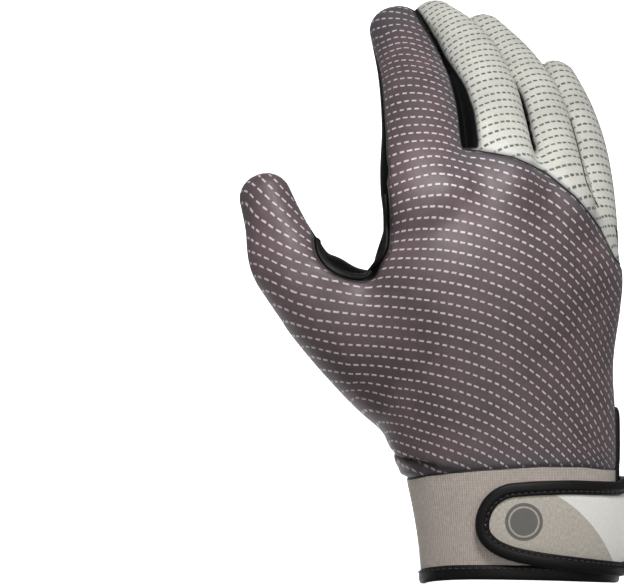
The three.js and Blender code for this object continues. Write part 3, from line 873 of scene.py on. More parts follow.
def back_field(points):
    """Above 0 on the back's side of the seam round the hand and along each limb."""
    row = hand_reach(points)[1]
    inset_width = 2 * row["half_width"] - 2 * SEAM_INSET
    across = (points[:, 0] - row["x"] + row["half_width"] - SEAM_INSET) / inset_width
    across = np.clip(across, 0, 1)
    field = row["thumb_seam"] * (1 - across) + row["little_seam"] * across - points[:, 1]
    for limb in LIMBS.values():
        place = limb_place(limb, points)
        share = np.clip(place["side"] / place["half_width"] + 0.5, 0, 1)
        seam = (column(limb["rows"], "thumb_seam", place["t"]) * (1 - share)
                + column(limb["rows"], "little_seam", place["t"]) * share) * place["half_depth"]
        weight = (smooth_step(limb["region"] - 0.15, limb["region"] + 0.2, place["t"])
                  * smooth_step(1.45, 1.2, place["reach"]))
        field = field * (1 - weight) + (place["back"] - seam) * weight
    field = np.minimum(field, web_distance(points))
    below = FORK_SEAM["z"] - points[:, 2]
    deep = FORK_SEAM["depth"] - FORK_SEAM["slope"] * below
    fork = np.minimum.reduce([below, points[:, 0] - FORK_SEAM["left"],
                              FORK_SEAM["right"] - points[:, 0], deep - points[:, 1]])
    return np.maximum(field, fork)


def web_distance(points):
    """The distance from the seam round the web as seen from the front, and below 0 inside it."""
    seam = seam_line(WEB_SEAM, 1.0)
    start, way = seam[:-1], np.diff(seam, axis=0)
    near = np.full(len(points), np.inf)
    crossings = np.zeros(len(points), int)
    place = points[:, [0, 2]]
    around = np.concatenate([seam, seam[:1]])
    for a, b in zip(start, start + way):
        share = np.clip(((place - a) @ (b - a)) / ((b - a) @ (b - a)), 0, 1)
        near = np.minimum(near, np.linalg.norm(place - a - share[:, None] * (b - a), axis=1))
    for a, b in zip(around, around[1:]):
        spans = (a[1] > place[:, 1]) != (b[1] > place[:, 1])
        if a[1] != b[1]:
            at = a[0] + (place[:, 1] - a[1]) * (b[0] - a[0]) / (b[1] - a[1])
            crossings += spans & (place[:, 0] < at)
    return np.where(crossings % 2 == 1, -near, near)


def knuckle_field(points):
    """Above 0 on the fingers' side of the seam over the knuckles. The first finger is left out."""
    seam = np.interp(points[:, 0], KNUCKLE_SEAM["x"], KNUCKLE_SEAM["z"])
    field = points[:, 2] - seam
    # Above the fork, what is nearer to the first finger than to the middle one goes to the back
    place = limb_place(LIMBS["index"], points)
    other = limb_place(LIMBS["middle"], points)
    closer = (other["reach"] - place["reach"]) * 12
    apart = smooth_step(146, 152, points[:, 2])
    return np.where(points[:, 0] < 5, np.minimum(field, field * (1 - apart) - closer * apart), field)


def cuff_field(points):
    return points[:, 2] - np.interp(points[:, 0], CUFF_SEAM["x"], CUFF_SEAM["z"])


def slit_field(points):
    """Below 0 inside the slit on the little finger's side."""
    t = hand_row(points[:, 2])
    middle = column(HAND, "little_seam", t)
    near = column(HAND, "x", t) + column(HAND, "half_width", t) - SLIT_INSET
    return np.maximum.reduce([np.abs(points[:, 1] - middle) - SLIT_HALF_WIDTH,
                              points[:, 2] - SLIT_TOP, near - points[:, 0]])


def fork_weight(points, width=5.0):
    """Near 1 where a limb leaves the hand, or two limbs part."""
    reach, row = hand_reach(points)
    depth = [np.abs(reach - 1) * row["half_depth"]]
    for limb in LIMBS.values():
        place = limb_place(limb, points)
        depth.append(np.abs(place["reach"] - 1) * place["half_depth"])
    second = np.sort(np.array(depth), axis=0)[1]
    return np.exp(-(second / width) ** 2)


def knuckle_rise(points):
    """How far the bulges over the knuckles stand out."""
    rise = np.zeros(len(points))
    for x, z, reach_x, reach_z, high in zip(*KNUCKLES.values()):
        gap = ((points[:, 0] - x) / reach_x) ** 2 + ((points[:, 2] - z) / reach_z) ** 2
        rise += high * np.exp(-gap)
    return rise


def fold_place(points):
    """How far along the fold each point is, from 0 to 1, and how far above it."""
    (x0, z0), (x1, z1) = FOLD["left"], FOLD["right"]
    share = np.clip((points[:, 0] - x0) / (x1 - x0), 0, 1)
    return share, points[:, 2] - (z0 * (1 - share) + z1 * share)


def fold_step(points, normals):
    """How far the cloth stands out over the cuff, or falls back under the fold there."""
    share, above = fold_place(points)
    rise = FOLD["rise"] * np.exp(-np.maximum(above, 0) / FOLD["rise_fade"])
    fall = -FOLD["fall"] * np.exp(np.minimum(above, 0) / FOLD["fall_fade"])
    step = smooth_step(-0.5, 0.5, above)
    amount = smooth_step(1.0, 0.6, share) * smooth_step(12.0, 4.0, points[:, 1])
    front = smooth_step(-0.1, -0.7, normals[:, 1])
    tucked = -FOLD["tuck"] * np.exp(-np.maximum(above, 0) / FOLD["tuck_fade"]) * (1 - front)
    full = FOLD["full"] * np.exp(-((points[:, 2] - FOLD["full_height"]) / FOLD["full_fade"]) ** 2)
    full = full * smooth_step(-34.0, -38.0, points[:, 0])
    return (fall * (1 - step) + (rise * front + tucked) * step + full) * amount


# The printed rows as two numbers per point: the row, and the place along it


def fitted(centres, values, points):
    """A smooth field that takes the given values at the centres, at other points."""
    count = len(centres)
    gaps = np.linalg.norm(centres[:, None] - centres[None], axis=2)
    linear = np.column_stack([np.ones(count), centres])
    left = np.block([[gaps, linear], [linear.T, np.zeros((4, 4))]])
    solved = np.linalg.solve(left, np.concatenate([values, np.zeros(4)]))
    out = np.empty(len(points))
    for start in range(0, len(points), 8000):
        part = points[start:start + 8000]
        near = np.linalg.norm(part[:, None] - centres[None], axis=2)
        out[start:start + 8000] = near @ solved[:count] + solved[count] + part @ solved[count + 1:]
    return out


def seen_places(tree, picked, level=False):
    """Where rays through places of the picture's plane meet a surface, with its normals there. The
    rays come from the camera, or from straight in front of each place where they are level."""
    found, normals = [], []
    for x, z in picked:
        start = Vector((x, -200, z)) if level else Vector(EYE)
        hit, normal, _, _ = tree.ray_cast(start, Vector((x, 0, z)) - start)
        if hit is not None:
            found.append(tuple(hit))
            normals.append(tuple(normal))
    return np.array(found), np.array(normals)


def back_rows(tree):
    """Centres and row numbers that fix the rows printed on the back panel."""
    centres, values = [], []
    for number, *places in PRINTED_ROWS:
        found = seen_places(tree, places)[0]
        centres += list(found)
        values += [number + 0.5] * len(found)
    return np.array(centres), np.array(values)


def finger_rows():
    """Centres and row numbers for the finger panel, whose rows run round each finger."""
    centres, values = [], []
    for name in ("middle", "ring", "little"):
        limb = LIMBS[name]
        top = np.interp(150.0, limb["centre"][:, 2], limb["length"])
        for t in np.arange(0.5, limb["last"] + 0.01, 0.5):
            centre, side, back, _ = limb_frame(limb, t)
            length = np.interp(t, limb["t"], limb["length"])
            half_width, half_depth = half_sizes(limb, t)
            for phi in np.arange(-0.2, 1.21, 0.35) * np.pi:
                c, s = superellipse(phi, LIMB_ROUNDNESS)
                centres.append(centre + side * half_width * c + back * half_depth * s)
                skew = ROW_SKEW * (1 - smooth_step(0.35, 0.95, t / limb["last"]))
                past = length - top + ROW_CROWDING * max(length - top, 0) ** 3
                values.append((skew * half_width * c - past) / FINGER_ROW_SPACING)
    return np.array(centres), np.array(values)


def along_rows(points, faces, rows):
    """A number that grows evenly along the rows, in millimetres, as nearly as the surface lets it."""
    corner = points[faces]
    across = np.cross(corner[:, 1] - corner[:, 0], corner[:, 2] - corner[:, 0])
    double_area = np.maximum(np.linalg.norm(across, axis=1, keepdims=True), 1e-9)
    normal = across / double_area
    slope = np.zeros_like(normal)
    for k in range(3):
        edge = corner[:, (k + 2) % 3] - corner[:, (k + 1) % 3]
        slope += rows[faces[:, k], None] * np.cross(normal, edge) / double_area
    slope /= np.maximum(np.linalg.norm(slope, axis=1, keepdims=True), 1e-9)
    way = np.cross(slope, normal)
    count = len(points)
    i = faces.ravel()
    j = faces[:, [1, 2, 0]].ravel()
    edge = points[j] - points[i]
    target = (edge * np.repeat(way, 3, axis=0)).sum(1)
    weight = (target / np.maximum(np.linalg.norm(edge, axis=1), 1e-9)) ** 4 + 0.03
    right = np.bincount(j, weight * target, count) - np.bincount(i, weight * target, count)
    degree = np.bincount(i, weight, count) + np.bincount(j, weight, count)

    def spread(u):
        gap = weight * (u[j] - u[i])
        return np.bincount(j, gap, count) - np.bincount(i, gap, count)

    u = points[:, 0] * np.sign((way[:, 0]).mean())
    rest = right - spread(u)
    step = rest / degree
    way_on = step.copy()
    size = rest @ step
    for _ in range(900):
        pushed = spread(way_on)
        share = size / (way_on @ pushed)
        u = u + share * way_on
        rest = rest - share * pushed
        step = rest / degree
        after = rest @ step
        if after < 1e-7 * count:
            break
        way_on = step + way_on * (after / size)
        size = after
    return u


# Materials


class Shader:
    """Short calls for the nodes of one material."""

    def __init__(self, name):
        self.material = bpy.data.materials.new(name)
        self.material.use_nodes = True
        self.nodes = self.material.node_tree.nodes
        self.links = self.material.node_tree.links
        self.surface = self.nodes["Principled BSDF"]

    def node(self, kind, inputs=None, **settings):
        made = self.nodes.new("ShaderNode" + kind)
        for key, value in settings.items():
            setattr(made, key, value)
        for key, value in (inputs or {}).items():
            self.give(made.inputs[key], value)
        return made

    def give(self, socket, value):
        if isinstance(value, bpy.types.NodeSocket):
            self.links.new(value, socket)
        elif isinstance(value, (tuple, list)) and len(value) == 3 and socket.type == "RGBA":
            socket.default_value = (*value, 1.0)
        else:
            socket.default_value = value

    def math(self, operation, *values):
        made = self.node("Math", operation=operation)
        for k, value in enumerate(values):
            self.give(made.inputs[k], value)
        return made.outputs[0]

    def add(self, a, b):
        return self.math("ADD", a, b)

    def times(self, a, b):
        return self.math("MULTIPLY", a, b)

    def wave(self, value, length):
        """A sine of that wavelength."""
        return self.math("SINE", self.times(value, 2 * math.pi / length))

    def ramp(self, value, low, high, start=0.0, end=1.0):
        """A soft step from start to end as value goes from low to high."""
        made = self.node("MapRange", {"Value": value, "From Min": low, "From Max": high,
                                      "To Min": start, "To Max": end},
                         interpolation_type="SMOOTHSTEP")
        return made.outputs["Result"]

    def mix(self, share, a, b, blend="MIX"):
        made = self.node("Mix", data_type="RGBA", blend_type=blend)
        self.give(made.inputs["Factor"], share)
        self.give(made.inputs[6], a)
        self.give(made.inputs[7], b)
        return made.outputs[2]

    def noise(self, scale, detail=2.0, rough=0.5, vector=None):
        """Noise over the object, where scale is the size of its grain in millimetres."""
        place = vector or self.node("TexCoord").outputs["Object"]
        made = self.node("TexNoise", {"Vector": place, "Scale": 1000.0 / scale, "Detail": detail,
                                      "Roughness": rough})
        return made.outputs["Fac"]

    def flecks(self, along, across, stretch):
        """Short flecks of mixed yarn, longer along the wales the smaller stretch is."""
        place = self.node("CombineXYZ", {"X": self.times(along, 1.6), "Y": self.times(across, stretch)})
        made = self.node("TexNoise", {"Vector": place.outputs[0], "Scale": 1.0, "Detail": 3.0,
                                      "Roughness": 0.75})
        return self.ramp(made.outputs["Fac"], 0.30, 0.72)

    def rows(self):
        """The two numbers of the rows' map: along a row, and across the rows."""
        place = self.node("UVMap", uv_map="rows").outputs["UV"]
        split = self.node("SeparateXYZ", {"Vector": place})
        return split.outputs["X"], split.outputs["Y"]

    def mark(self, name):
        return self.node("Attribute", attribute_name=name).outputs["Fac"]

    def bump(self, height, distance, strength=1.0, normal=None):
        """A bump of that many millimetres."""
        inputs = {"Height": height, "Distance": distance * MM, "Strength": strength}
        if normal is not None:
            inputs["Normal"] = normal
        return self.node("Bump", inputs).outputs["Normal"]

    def finish(self, colour, roughness, normal=None, sheen=0.0, specular=0.5):
        self.give(self.surface.inputs["Base Color"], colour)
        self.give(self.surface.inputs["Roughness"], roughness)
        self.surface.inputs["Sheen Weight"].default_value = sheen
        self.surface.inputs["Sheen Roughness"].default_value = 0.5
        self.surface.inputs["Specular IOR Level"].default_value = specular
        if normal is not None:
            self.give(self.surface.inputs["Normal"], normal)
        return self.material


def linear(red, green, blue):
    """A colour given as it looks on a screen, from 0 to 255."""
    return tuple(((v / 255 + 0.055) / 1.055) ** 2.4 if v > 10 else v / 3294 for v in (red, green, blue))


def printed_fabric(name, ground, ground_dark, sheen_shade, dash, dash_half, line_half):
    """A fine jersey over neoprene, with rows of short printed dashes."""
    s = Shader(name)
    along, across = s.rows()
    row = s.math("FLOOR", across)
    shift = s.times(s.math("FRACT", s.times(s.math("SINE", s.times(row, 12.9898)), 43.7585)), 0.3)
    shift = s.add(shift, s.times(row, 0.42))
    wobble = s.noise(2.2, 1.0)
    lift = s.times(s.add(wobble, -0.5), 0.10)
    off_row = s.math("ABSOLUTE", s.add(s.math("FRACT", s.add(across, lift)), -0.5))
    place = s.math("FRACT", s.add(along, shift))
    off_dash = s.math("ABSOLUTE", s.add(place, -0.5))
    length = s.times(s.add(s.noise(5.0, 0.0), -0.5), 0.16)
    off_dash = s.add(off_dash, length)
    on_row = s.ramp(off_row, line_half - 0.035, line_half + 0.035, 1.0, 0.0)
    on_dash = s.ramp(off_dash, dash_half - 0.045, dash_half + 0.045, 1.0, 0.0)
    mask = s.times(on_row, on_dash)
    patches = s.noise(14.0, 3.0, 0.6)
    grain = s.noise(0.55, 2.0, 0.7)
    tone = s.mix(s.ramp(patches, 0.3, 0.7), ground_dark, ground)
    # Painted cool sheen and shade: the tone turns to the cool colour beside the seams over the knuckles
    # and the cuff, and on the first finger's tip and far side
    tone = s.mix(s.ramp(s.mark("edge"), 0.0, 1.0, 0.8, 0.0), tone, sheen_shade)
    tone = s.mix(s.times(s.ramp(grain, 0.35, 0.75), 0.38), tone, tuple(v * 0.55 for v in ground))
    # The dashes are worn at random
    wear_and_sheen = s.ramp(s.noise(1.1, 2.0, 0.7), 0.25, 0.6, 0.72, 1.0)
    colour = s.mix(s.times(mask, wear_and_sheen), tone, dash)
    # Painted shade in the seams' grooves and a painted shadow in the crease under the fold, darkening
    # the colour towards a quarter of the ground
    seam = s.mark("seam")
    colour = s.mix(s.ramp(seam, 0.1, 0.9, 0.75, 0.0), colour, tuple(v * 0.25 for v in ground))
    knit = s.noise(0.42, 1.0, 0.5)
    height = s.add(s.times(knit, 0.35), s.times(mask, 0.6))
    normal = s.bump(height, 0.08)
    normal = s.bump(s.noise(9.0, 2.0), 0.5, 0.4, normal)
    roughness = s.ramp(grain, 0.2, 0.8, 0.44, 0.56)
    s.surface.inputs["Sheen Tint"].default_value = (0.78, 0.86, 0.95, 1.0)
    return s.finish(colour, roughness, normal, sheen=0.06, specular=0.34)


def palm_fabric():
    """Black synthetic suede with a fine raised honeycomb print and ribs at the joints."""
    s = Shader("palm_fabric")
    along, across = s.rows()
    grain = s.noise(0.6, 2.0, 0.7)
    down = s.times(across, ROW_SPACING)
    cell = None
    for shift in (0.0, 0.5):
        x = s.add(s.math("FRACT", s.add(s.times(along, 1 / HEXAGON), shift)), -0.5)
        y = s.add(s.math("FRACT", s.add(s.times(down, 1 / (HEXAGON * 3**0.5)), shift)), -0.5)
        x, y = s.math("ABSOLUTE", x), s.times(s.math("ABSOLUTE", y), 3**0.5)
        inside = s.math("MAXIMUM", x, s.add(s.times(x, 0.5), s.times(y, 3**0.5 / 2)))
        cell = inside if cell is None else s.math("MINIMUM", cell, inside)
    wall = s.times(s.ramp(cell, 0.36, 0.47), s.mark("print"))
    joint = s.mark("joint")
    ribs = s.add(0.5, s.times(s.wave(down, 2.1), 0.5))
    plain = s.math("SUBTRACT", 1.0, joint)
    raised = s.add(s.times(wall, plain), s.times(ribs, joint))
    colour = s.mix(s.ramp(grain, 0.3, 0.8), (0.0006, 0.0006, 0.0007), (0.0022, 0.0022, 0.0023))
    colour = s.mix(s.times(s.times(wall, plain), 0.6), colour, linear(40, 40, 41))
    normal = s.bump(s.noise(0.5, 2.0), 0.06)
    normal = s.bump(raised, 0.3, 0.8, normal)
    return s.finish(colour, s.ramp(grain, 0.2, 0.8, 0.5, 0.7), normal, sheen=0.0, specular=0.1)


def heather_knit():
    """A close knit of mixed yarns: fine wales and courses with flecks of light and dark."""
    s = Shader("heather_knit")
    light, dark = linear(212, 200, 190), linear(180, 169, 160)
    along, across = s.rows()
    wale, course = s.wave(along, 0.72), s.wave(across, 0.95)
    weave = s.add(s.times(wale, 0.62), s.times(s.times(wale, course), 0.38))
    tone = s.mix(s.flecks(along, across, 0.55), dark, light)
    tone = s.mix(s.times(s.ramp(weave, 0.25, -0.75), 0.46), tone, tuple(v * 0.45 for v in dark))
    tone = s.mix(s.times(s.ramp(s.noise(9.0, 2.0), 0.35, 0.7), 0.14), tone,
                 tuple(v * 0.8 for v in dark))
    normal = s.bump(weave, 0.10)
    return s.finish(tone, 0.85, normal, sheen=0.2, specular=0.25)


def strap_fabric():
    """The cuff's knit with a pale wedge towards the root and a plain round mark near the tip."""
    s = Shader("strap_print")
    across_x, up_z = s.rows()
    fleck = s.flecks(across_x, up_z, 0.7)
    weave = s.times(s.wave(across_x, 0.7), s.wave(up_z, 0.62))
    heather = s.mix(fleck, linear(180, 173, 162), linear(210, 203, 191))
    pale = s.mix(fleck, linear(240, 239, 231), linear(249, 248, 242))

    def distance(x, z):
        return s.math("SQRT", s.add(s.math("POWER", s.add(across_x, -x), 2.0),
                                    s.math("POWER", s.add(up_z, -z), 2.0)))

    wedge = s.ramp(distance(*WEDGE_CENTRE), WEDGE_RADIUS - 0.15, WEDGE_RADIUS + 0.15)
    tone = s.mix(wedge, heather, pale)
    out = distance(*MARK_CENTRE)
    disc = s.ramp(out, MARK_RADIUS - 0.12, MARK_RADIUS + 0.12, 1.0, 0.0)
    ring = s.ramp(s.math("ABSOLUTE", s.add(out, -0.78 * MARK_RADIUS)), 0.22, 0.42, 1.0, 0.0)
    mark = s.times(disc, s.add(1.0, s.times(ring, -0.85)))
    tone = s.mix(s.times(mark, 0.88), tone, linear(96, 95, 92))
    tone = s.mix(s.times(s.ramp(weave, -0.1, -0.9), 0.16), tone, linear(110, 106, 96))
    return s.finish(tone, 0.8, s.bump(weave, 0.08), sheen=0.2, specular=0.3)


def binding_tape():
    """Black tape with a fine grain."""
    s = Shader("binding_tape")
    grain = s.noise(0.5, 2.0, 0.7)
    colour = s.mix(s.ramp(grain, 0.3, 0.8), linear(9, 8, 8), linear(29, 26, 25))
    normal = s.bump(s.noise(0.45, 2.0, 0.6), 0.1)
    return s.finish(colour, s.ramp(grain, 0.2, 0.8, 0.42, 0.6), normal, sheen=0.0, specular=0.2)


def thread_material():
    s = Shader("thread")
    grain = s.noise(0.3, 1.0)
    colour = s.mix(s.ramp(grain, 0.3, 0.7), linear(22, 22, 24), linear(52, 52, 54))
    return s.finish(colour, 0.5, s.bump(grain, 0.05), sheen=0.1, specular=0.4)


# The camera, the light and the stage


def make_camera():
    data = bpy.data.cameras.new("camera")
    data.sensor_width = SENSOR_WIDTH
    data.lens = SENSOR_WIDTH * CAMERA_DISTANCE / PICTURE_WIDTH
    data.dof.use_dof = False
    camera = bpy.data.objects.new("camera", data)
    camera.location = Vector(EYE) * MM
    camera.rotation_euler = (math.radians(90), 0, 0)
    bpy.context.scene.collection.objects.link(camera)
    bpy.context.scene.camera = camera


def make_light(name, kind, place, aim, power, **settings):
    data = bpy.data.lights.new(name, kind)
    data.energy = power
    for key, value in settings.items():
        setattr(data, key, value)
    light = bpy.data.objects.new(name, data)
    light.location = place
    light.rotation_euler = (Vector(aim) - Vector(place)).to_track_quat("-Z", "Y").to_euler()
    bpy.context.scene.collection.objects.link(light)


def make_stage():
    """A pale floor that curves up into a wall behind."""
    width, front, rear, rise, bend = 0.24, 0.0, 0.9, 0.75, 0.35
    floor_z = -0.004
    profile = [(front, floor_z)]
    for k in range(13):
        a = math.pi / 2 * k / 12
        profile.append((rear - bend + bend * math.sin(a), floor_z + bend * (1 - math.cos(a))))
    profile.append((rear, rise))
    middle = PICTURE_CENTRE[0] * MM
    points = [(x, y, z) for y, z in profile for x in (middle - width, middle + width)]
    faces = [(2 * k, 2 * k + 1, 2 * k + 3, 2 * k + 2) for k in range(len(profile) - 1)]
    mesh = bpy.data.meshes.new("stage_sweep")
    mesh.from_pydata(points, [], faces)
    mesh.shade_smooth()
    stage = bpy.data.objects.new("stage_sweep", mesh)
    bpy.context.scene.collection.objects.link(stage)
    s = Shader("stage_paper")
    s.finish(s.mix(s.noise(60.0), (0.93, 0.93, 0.93), (0.95, 0.95, 0.95)), 0.9, specular=0.1)
    s.surface.inputs["Emission Color"].default_value = (1, 1, 1, 1)
    s.surface.inputs["Emission Strength"].default_value = 1.0
    mesh.materials.append(s.material)


def make_world():
    world = bpy.data.worlds.new("studio")
    bpy.context.scene.world = world
    world.use_nodes = True
    world.node_tree.nodes["Background"].inputs[0].default_value = (1, 1, 1, 1)
    world.node_tree.nodes["Background"].inputs[1].default_value = 0.22
    bpy.context.scene.view_settings.view_transform = "Standard"


make_camera()
make_world()
make_stage()
make_light("key", "AREA", (0.07, -0.95, 1.45), (-0.03, 0, 0.11), 20, shape="DISK", size=0.5)
make_light("fill", "AREA", (0.6, -1.4, 0.25), (-0.03, 0, 0.11), 3.2, shape="DISK", size=1.0)
for name, place, aim, cone, power in [
    ("upper_glow", (-0.04, -0.62, 0.8), (-0.045, 0, 0.155), 14.0, 7.5),
    ("knuckle_glow", (0.0, -0.72, 0.62), (-0.021, 0, 0.133), 4.9, 24),
    ("cuff_glow", (-0.05, -0.9, 0.1), (-0.006, 0, 0.024), 6.4, 5.0),
    ("thumb_glow", (-0.3, -0.8, 0.35), (-0.086, 0, 0.12), 5.6, 13),
]:
    make_light(name, "SPOT", place, aim, power, spot_size=math.radians(cone), spot_blend=1.0,
               shadow_soft_size=0.03)


# The hand's panels


def glove_surface():
    """The whole outer surface, smoothed where the limbs part, with its bulges and its fold."""
    points, faces = joined_surface()
    edges = edges_of(faces)
    for share in (0.5, -0.53) * 6:
        points = relaxed(points, edges, 1.0, 1, share)
    points = relaxed(points, edges, fork_weight(points), 50)
    x, y, z = points.T
    below_seam = smooth_step(5.0, -3.0, z - np.interp(x, KNUCKLE_SEAM["x"], KNUCKLE_SEAM["z"]))
    below_knuckles = below_seam * (smooth_step(125.0, 135.0, z) * smooth_step(-18.0, -10.0, x))
    below_web = (smooth_step(22.0, 14.0, np.abs(x + 54)) * smooth_step(112.0, 106.0, z)
                 * smooth_step(70.0, 80.0, z) * smooth_step(-2.0, -8.0, y))
    weight = fork_weight(points, 10.0) * np.maximum(below_knuckles, below_web)
    points = relaxed(points, edges, weight, 260)
    normals = normals_of(points, faces)
    on_front = smooth_step(0.0, -0.6, normals[:, 1])
    grown = MESH_INSET + fold_step(points, normals) + knuckle_rise(points) * on_front
    return points + normals * grown[:, None], faces


def cut_panels(points, faces):
    """The surface's three panels: the back, the fingers' backs and the palm."""
    for field in (cuff_field, slit_field):
        points, faces, kept = cut(points, faces, field)
        points, faces = compact(points, faces[kept])
    points, faces, on_back = cut(points, faces, back_field)
    on_back = settled(points, faces, on_back)
    palm = main_part(*compact(points, faces[~on_back]))
    points, faces = compact(points, faces[on_back])
    points, faces, on_fingers = cut(points, faces, knuckle_field)
    on_fingers = settled(points, faces, on_fingers)
    fingers = main_part(*compact(points, faces[on_fingers]))
    return main_part(*compact(points, faces[~on_fingers])), fingers, palm


def seam_marks(points, with_knuckle):
    """For each point, from 0 at a seam or at the crease under the fold to 1 well away from it. Near 0
    the cloth sinks into a groove and takes painted shade, and the crease takes a painted shadow.
    """
    gap = np.minimum(np.abs(back_field(points)), np.abs(cuff_field(points)))
    if with_knuckle:
        gap = np.minimum(gap, np.abs(knuckle_field(points)) * 0.8)
    # The crease under the fold, with its painted shadow, fades at both its ends and isn't on the palm's
    # side
    share, above = fold_place(points)
    ends = smooth_step(0.24, 0.14, share) + smooth_step(0.6, 0.72, share)
    crease = np.abs(above + 0.35) + 2.0 * ends + 2.0 * (points[:, 1] > 0)
    return np.clip(np.minimum(gap, crease) / SEAM_WIDTH, 0, 1)


def edge_sheen_marks(points):
    """From 0 at the seams over the knuckles and the cuff, and at the first finger's tip and far
    side, to 1 well away from them. Where it is low, the print takes a painted cool sheen and shade."""
    gap = np.minimum(np.abs(knuckle_field(points)), np.abs(cuff_field(points)))
    mark = np.clip(gap / EDGE_WIDTH, 0, 1)
    place = limb_place(LIMBS["index"], points)
    side = place["side"] / place["half_width"]
    # Near 0 on the first finger's tip and far side, which take the painted cool sheen and shade
    wear_and_sheen = np.minimum(smooth_step(-2.0, 42.0, place["from_tip"]), smooth_step(1.0, 0.1, side))
    on_first = smooth_step(0.9, 1.5, place["t"]) * smooth_step(1.4, 1.2, place["reach"])
    return np.minimum(mark, 1 - on_first * (1 - wear_and_sheen))


def joint_marks(points):
    """Near 1 on the ribbed bands across the palm's side of each finger joint."""
    mark = np.zeros(len(points))
    for name, limb in LIMBS.items():
        place = limb_place(limb, points)
        near = smooth_step(1.3, 1.15, place["reach"]) * smooth_step(3.0, -1.0, place["back"])
        for joint in THUMB_JOINTS if name == "thumb" else FINGER_JOINTS:
            band = smooth_step(6.8, 6.0, np.abs(place["from_tip"] - joint))
            mark = np.maximum(mark, band * near * (place["t"] > 1.0))
    return mark


def thin_inside(piece, inside, share):
    """Leaves a piece that share of its triangles, where only the points named as inside may go."""
    group = piece.vertex_groups.new(name="inside")
    group.add([int(k) for k in inside], 1.0, "REPLACE")
    fewer = piece.modifiers.new("fewer", "DECIMATE")
    fewer.ratio = share
    fewer.vertex_group = group.name
    graph = bpy.context.evaluated_depsgraph_get()
    mesh = bpy.data.meshes.new_from_object(piece.evaluated_get(graph), preserve_all_data_layers=True,
                                           depsgraph=graph)
    piece.modifiers.clear()
    old = piece.data
    piece.data = mesh
    piece.vertex_groups.clear()
    bpy.data.meshes.remove(old)
    mesh.name = piece.name


def panel(name, mesh, material, replaces, rows, with_knuckle, pitch=1.0, marks=None, share=1.0):
    points, faces = mesh
    inside = len(points) + np.setdiff1d(np.arange(len(points)), border_of(faces))
    mark = seam_marks(points, with_knuckle)
    uv = np.stack([along_rows(points, faces, rows) / pitch, rows], 1)
    sunk = SEAM_DEPTH * (1 - smooth_step(0, 1, mark))
    points = points - normals_of(points, faces) * sunk[:, None]
    points, faces = shell(points, faces, WALL - 0.3)
    marks = {"seam": mark, **(marks or {})}
    piece = finished(name, points, faces, material, replaces, np.tile(uv, (2, 1)),
                     {key: np.tile(values, 2) for key, values in marks.items()})
    if share < 1:
        thin_inside(piece, inside, share)


surface = glove_surface()
tree = BVHTree.FromPolygons(surface[0].tolist(), surface[1].tolist())
back, fingers, palm = cut_panels(*surface)
mauve = printed_fabric("mauve_print", linear(96, 80, 83), linear(80, 69, 71), linear(78, 76, 81),
                       linear(194, 181, 183), line_half=0.09, dash_half=0.30)
white = printed_fabric("white_print", linear(209, 208, 199), linear(194, 193, 185),
                       linear(196, 198, 192), linear(88, 89, 84), line_half=0.125, dash_half=0.34)
centres, numbers = back_rows(tree)
panel("back_fabric", back, mauve, ["back_panel"],
      fitted(centres, numbers, back[0]), True, DASH_PITCH, {"edge": edge_sheen_marks(back[0])})
centres, numbers = finger_rows()
panel("finger_fabric", fingers, white, ["finger_panel"],
      fitted(centres, numbers, fingers[0]), True, FINGER_DASH_PITCH,
      {"edge": edge_sheen_marks(fingers[0])})
panel("palm_fabric", palm, palm_fabric(), ["palm_panel"],
      (200 - palm[0][:, 2]) / ROW_SPACING, False,
      marks={"joint": joint_marks(palm[0]),
             "print": smooth_step(0.2, 0.55, normals_of(*palm)[:, 1])},
      share=PALM_SHARE)


# The cuff and its trim

heather = heather_knit()
tape = binding_tape()
thread = thread_material()


def make_cuff():
    """The knit band round the wrist, up to its seam with the hand and open at the slit."""
    phi = np.linspace(0, 2 * np.pi, 300, endpoint=False)
    z = np.linspace(3.0, 47.0, 56)
    points, _ = hand_spot(phi[None, :] + np.zeros((56, 1)), z[:, None] + np.zeros((1, 300)))
    points = points.reshape(-1, 3)
    faces = grid_triangles(points, points - points.mean(0), 56, 300, closed=True)
    points, faces, above = cut(points, faces, cuff_field)
    points, faces = compact(points, faces[~above])
    points, faces, kept = cut(points, faces, slit_field)
    points, faces = compact(points, faces[kept])
    angle = np.arctan2(points[:, 1], points[:, 0])
    uv = np.stack([angle * 31.0, points[:, 2]], 1)
    full = 1.15 * smooth_step(-24.0, -34.0, points[:, 0]) * smooth_step(46.0, 34.0, points[:, 2])
    points = points + normals_of(points, faces) * (full - 0.15)[:, None]
    points, faces = shell(points, faces, WALL - 0.2)
    finished("cuff_knit", points, faces, heather, ["cuff"], np.tile(uv, (2, 1)))


def make_hem():
    """The folded tape round the cuff's lower edge, with its line of stitches."""
    start = phi_at_y(4 - SLIT_HALF_WIDTH, 3.0)[0]
    end = phi_at_y(4 + SLIT_HALF_WIDTH, 3.0)[0] + 2 * np.pi
    phi = np.linspace(start, end, 420)
    z = HEM_HEIGHT / 2 + HEM_RISE * np.maximum(np.sin(phi), 0) * (1 - 0.35 * np.cos(phi))
    path, out = hand_spot(phi, z)
    rise = np.tile([0.0, 0.0, 1.0], (420, 1))
    path = path + out * (0.5 + 0.7 * smooth_step(-24.0, -34.0, path[:, 0]))[:, None]
    across = np.cross(unit(np.gradient(path, axis=0)), rise)
    inward = -np.sign((across * out).sum())
    profile = [(inward * (c * 1.7 + 1.0), s * HEM_HEIGHT / 2) for c, s in
               (superellipse(a, 3.0) for a in np.linspace(0, 2 * np.pi, 32, endpoint=False))]
    points, faces, uv = swept(path, rise, profile)
    finished("hem_tape", points, faces, tape, ["hem_binding"], uv)
    points, faces = stitches(path + rise * 1.5, out, 0.0, 0.62, 1.7, 2.5, 0.22)
    finished("hem_stitches", points, faces, thread)


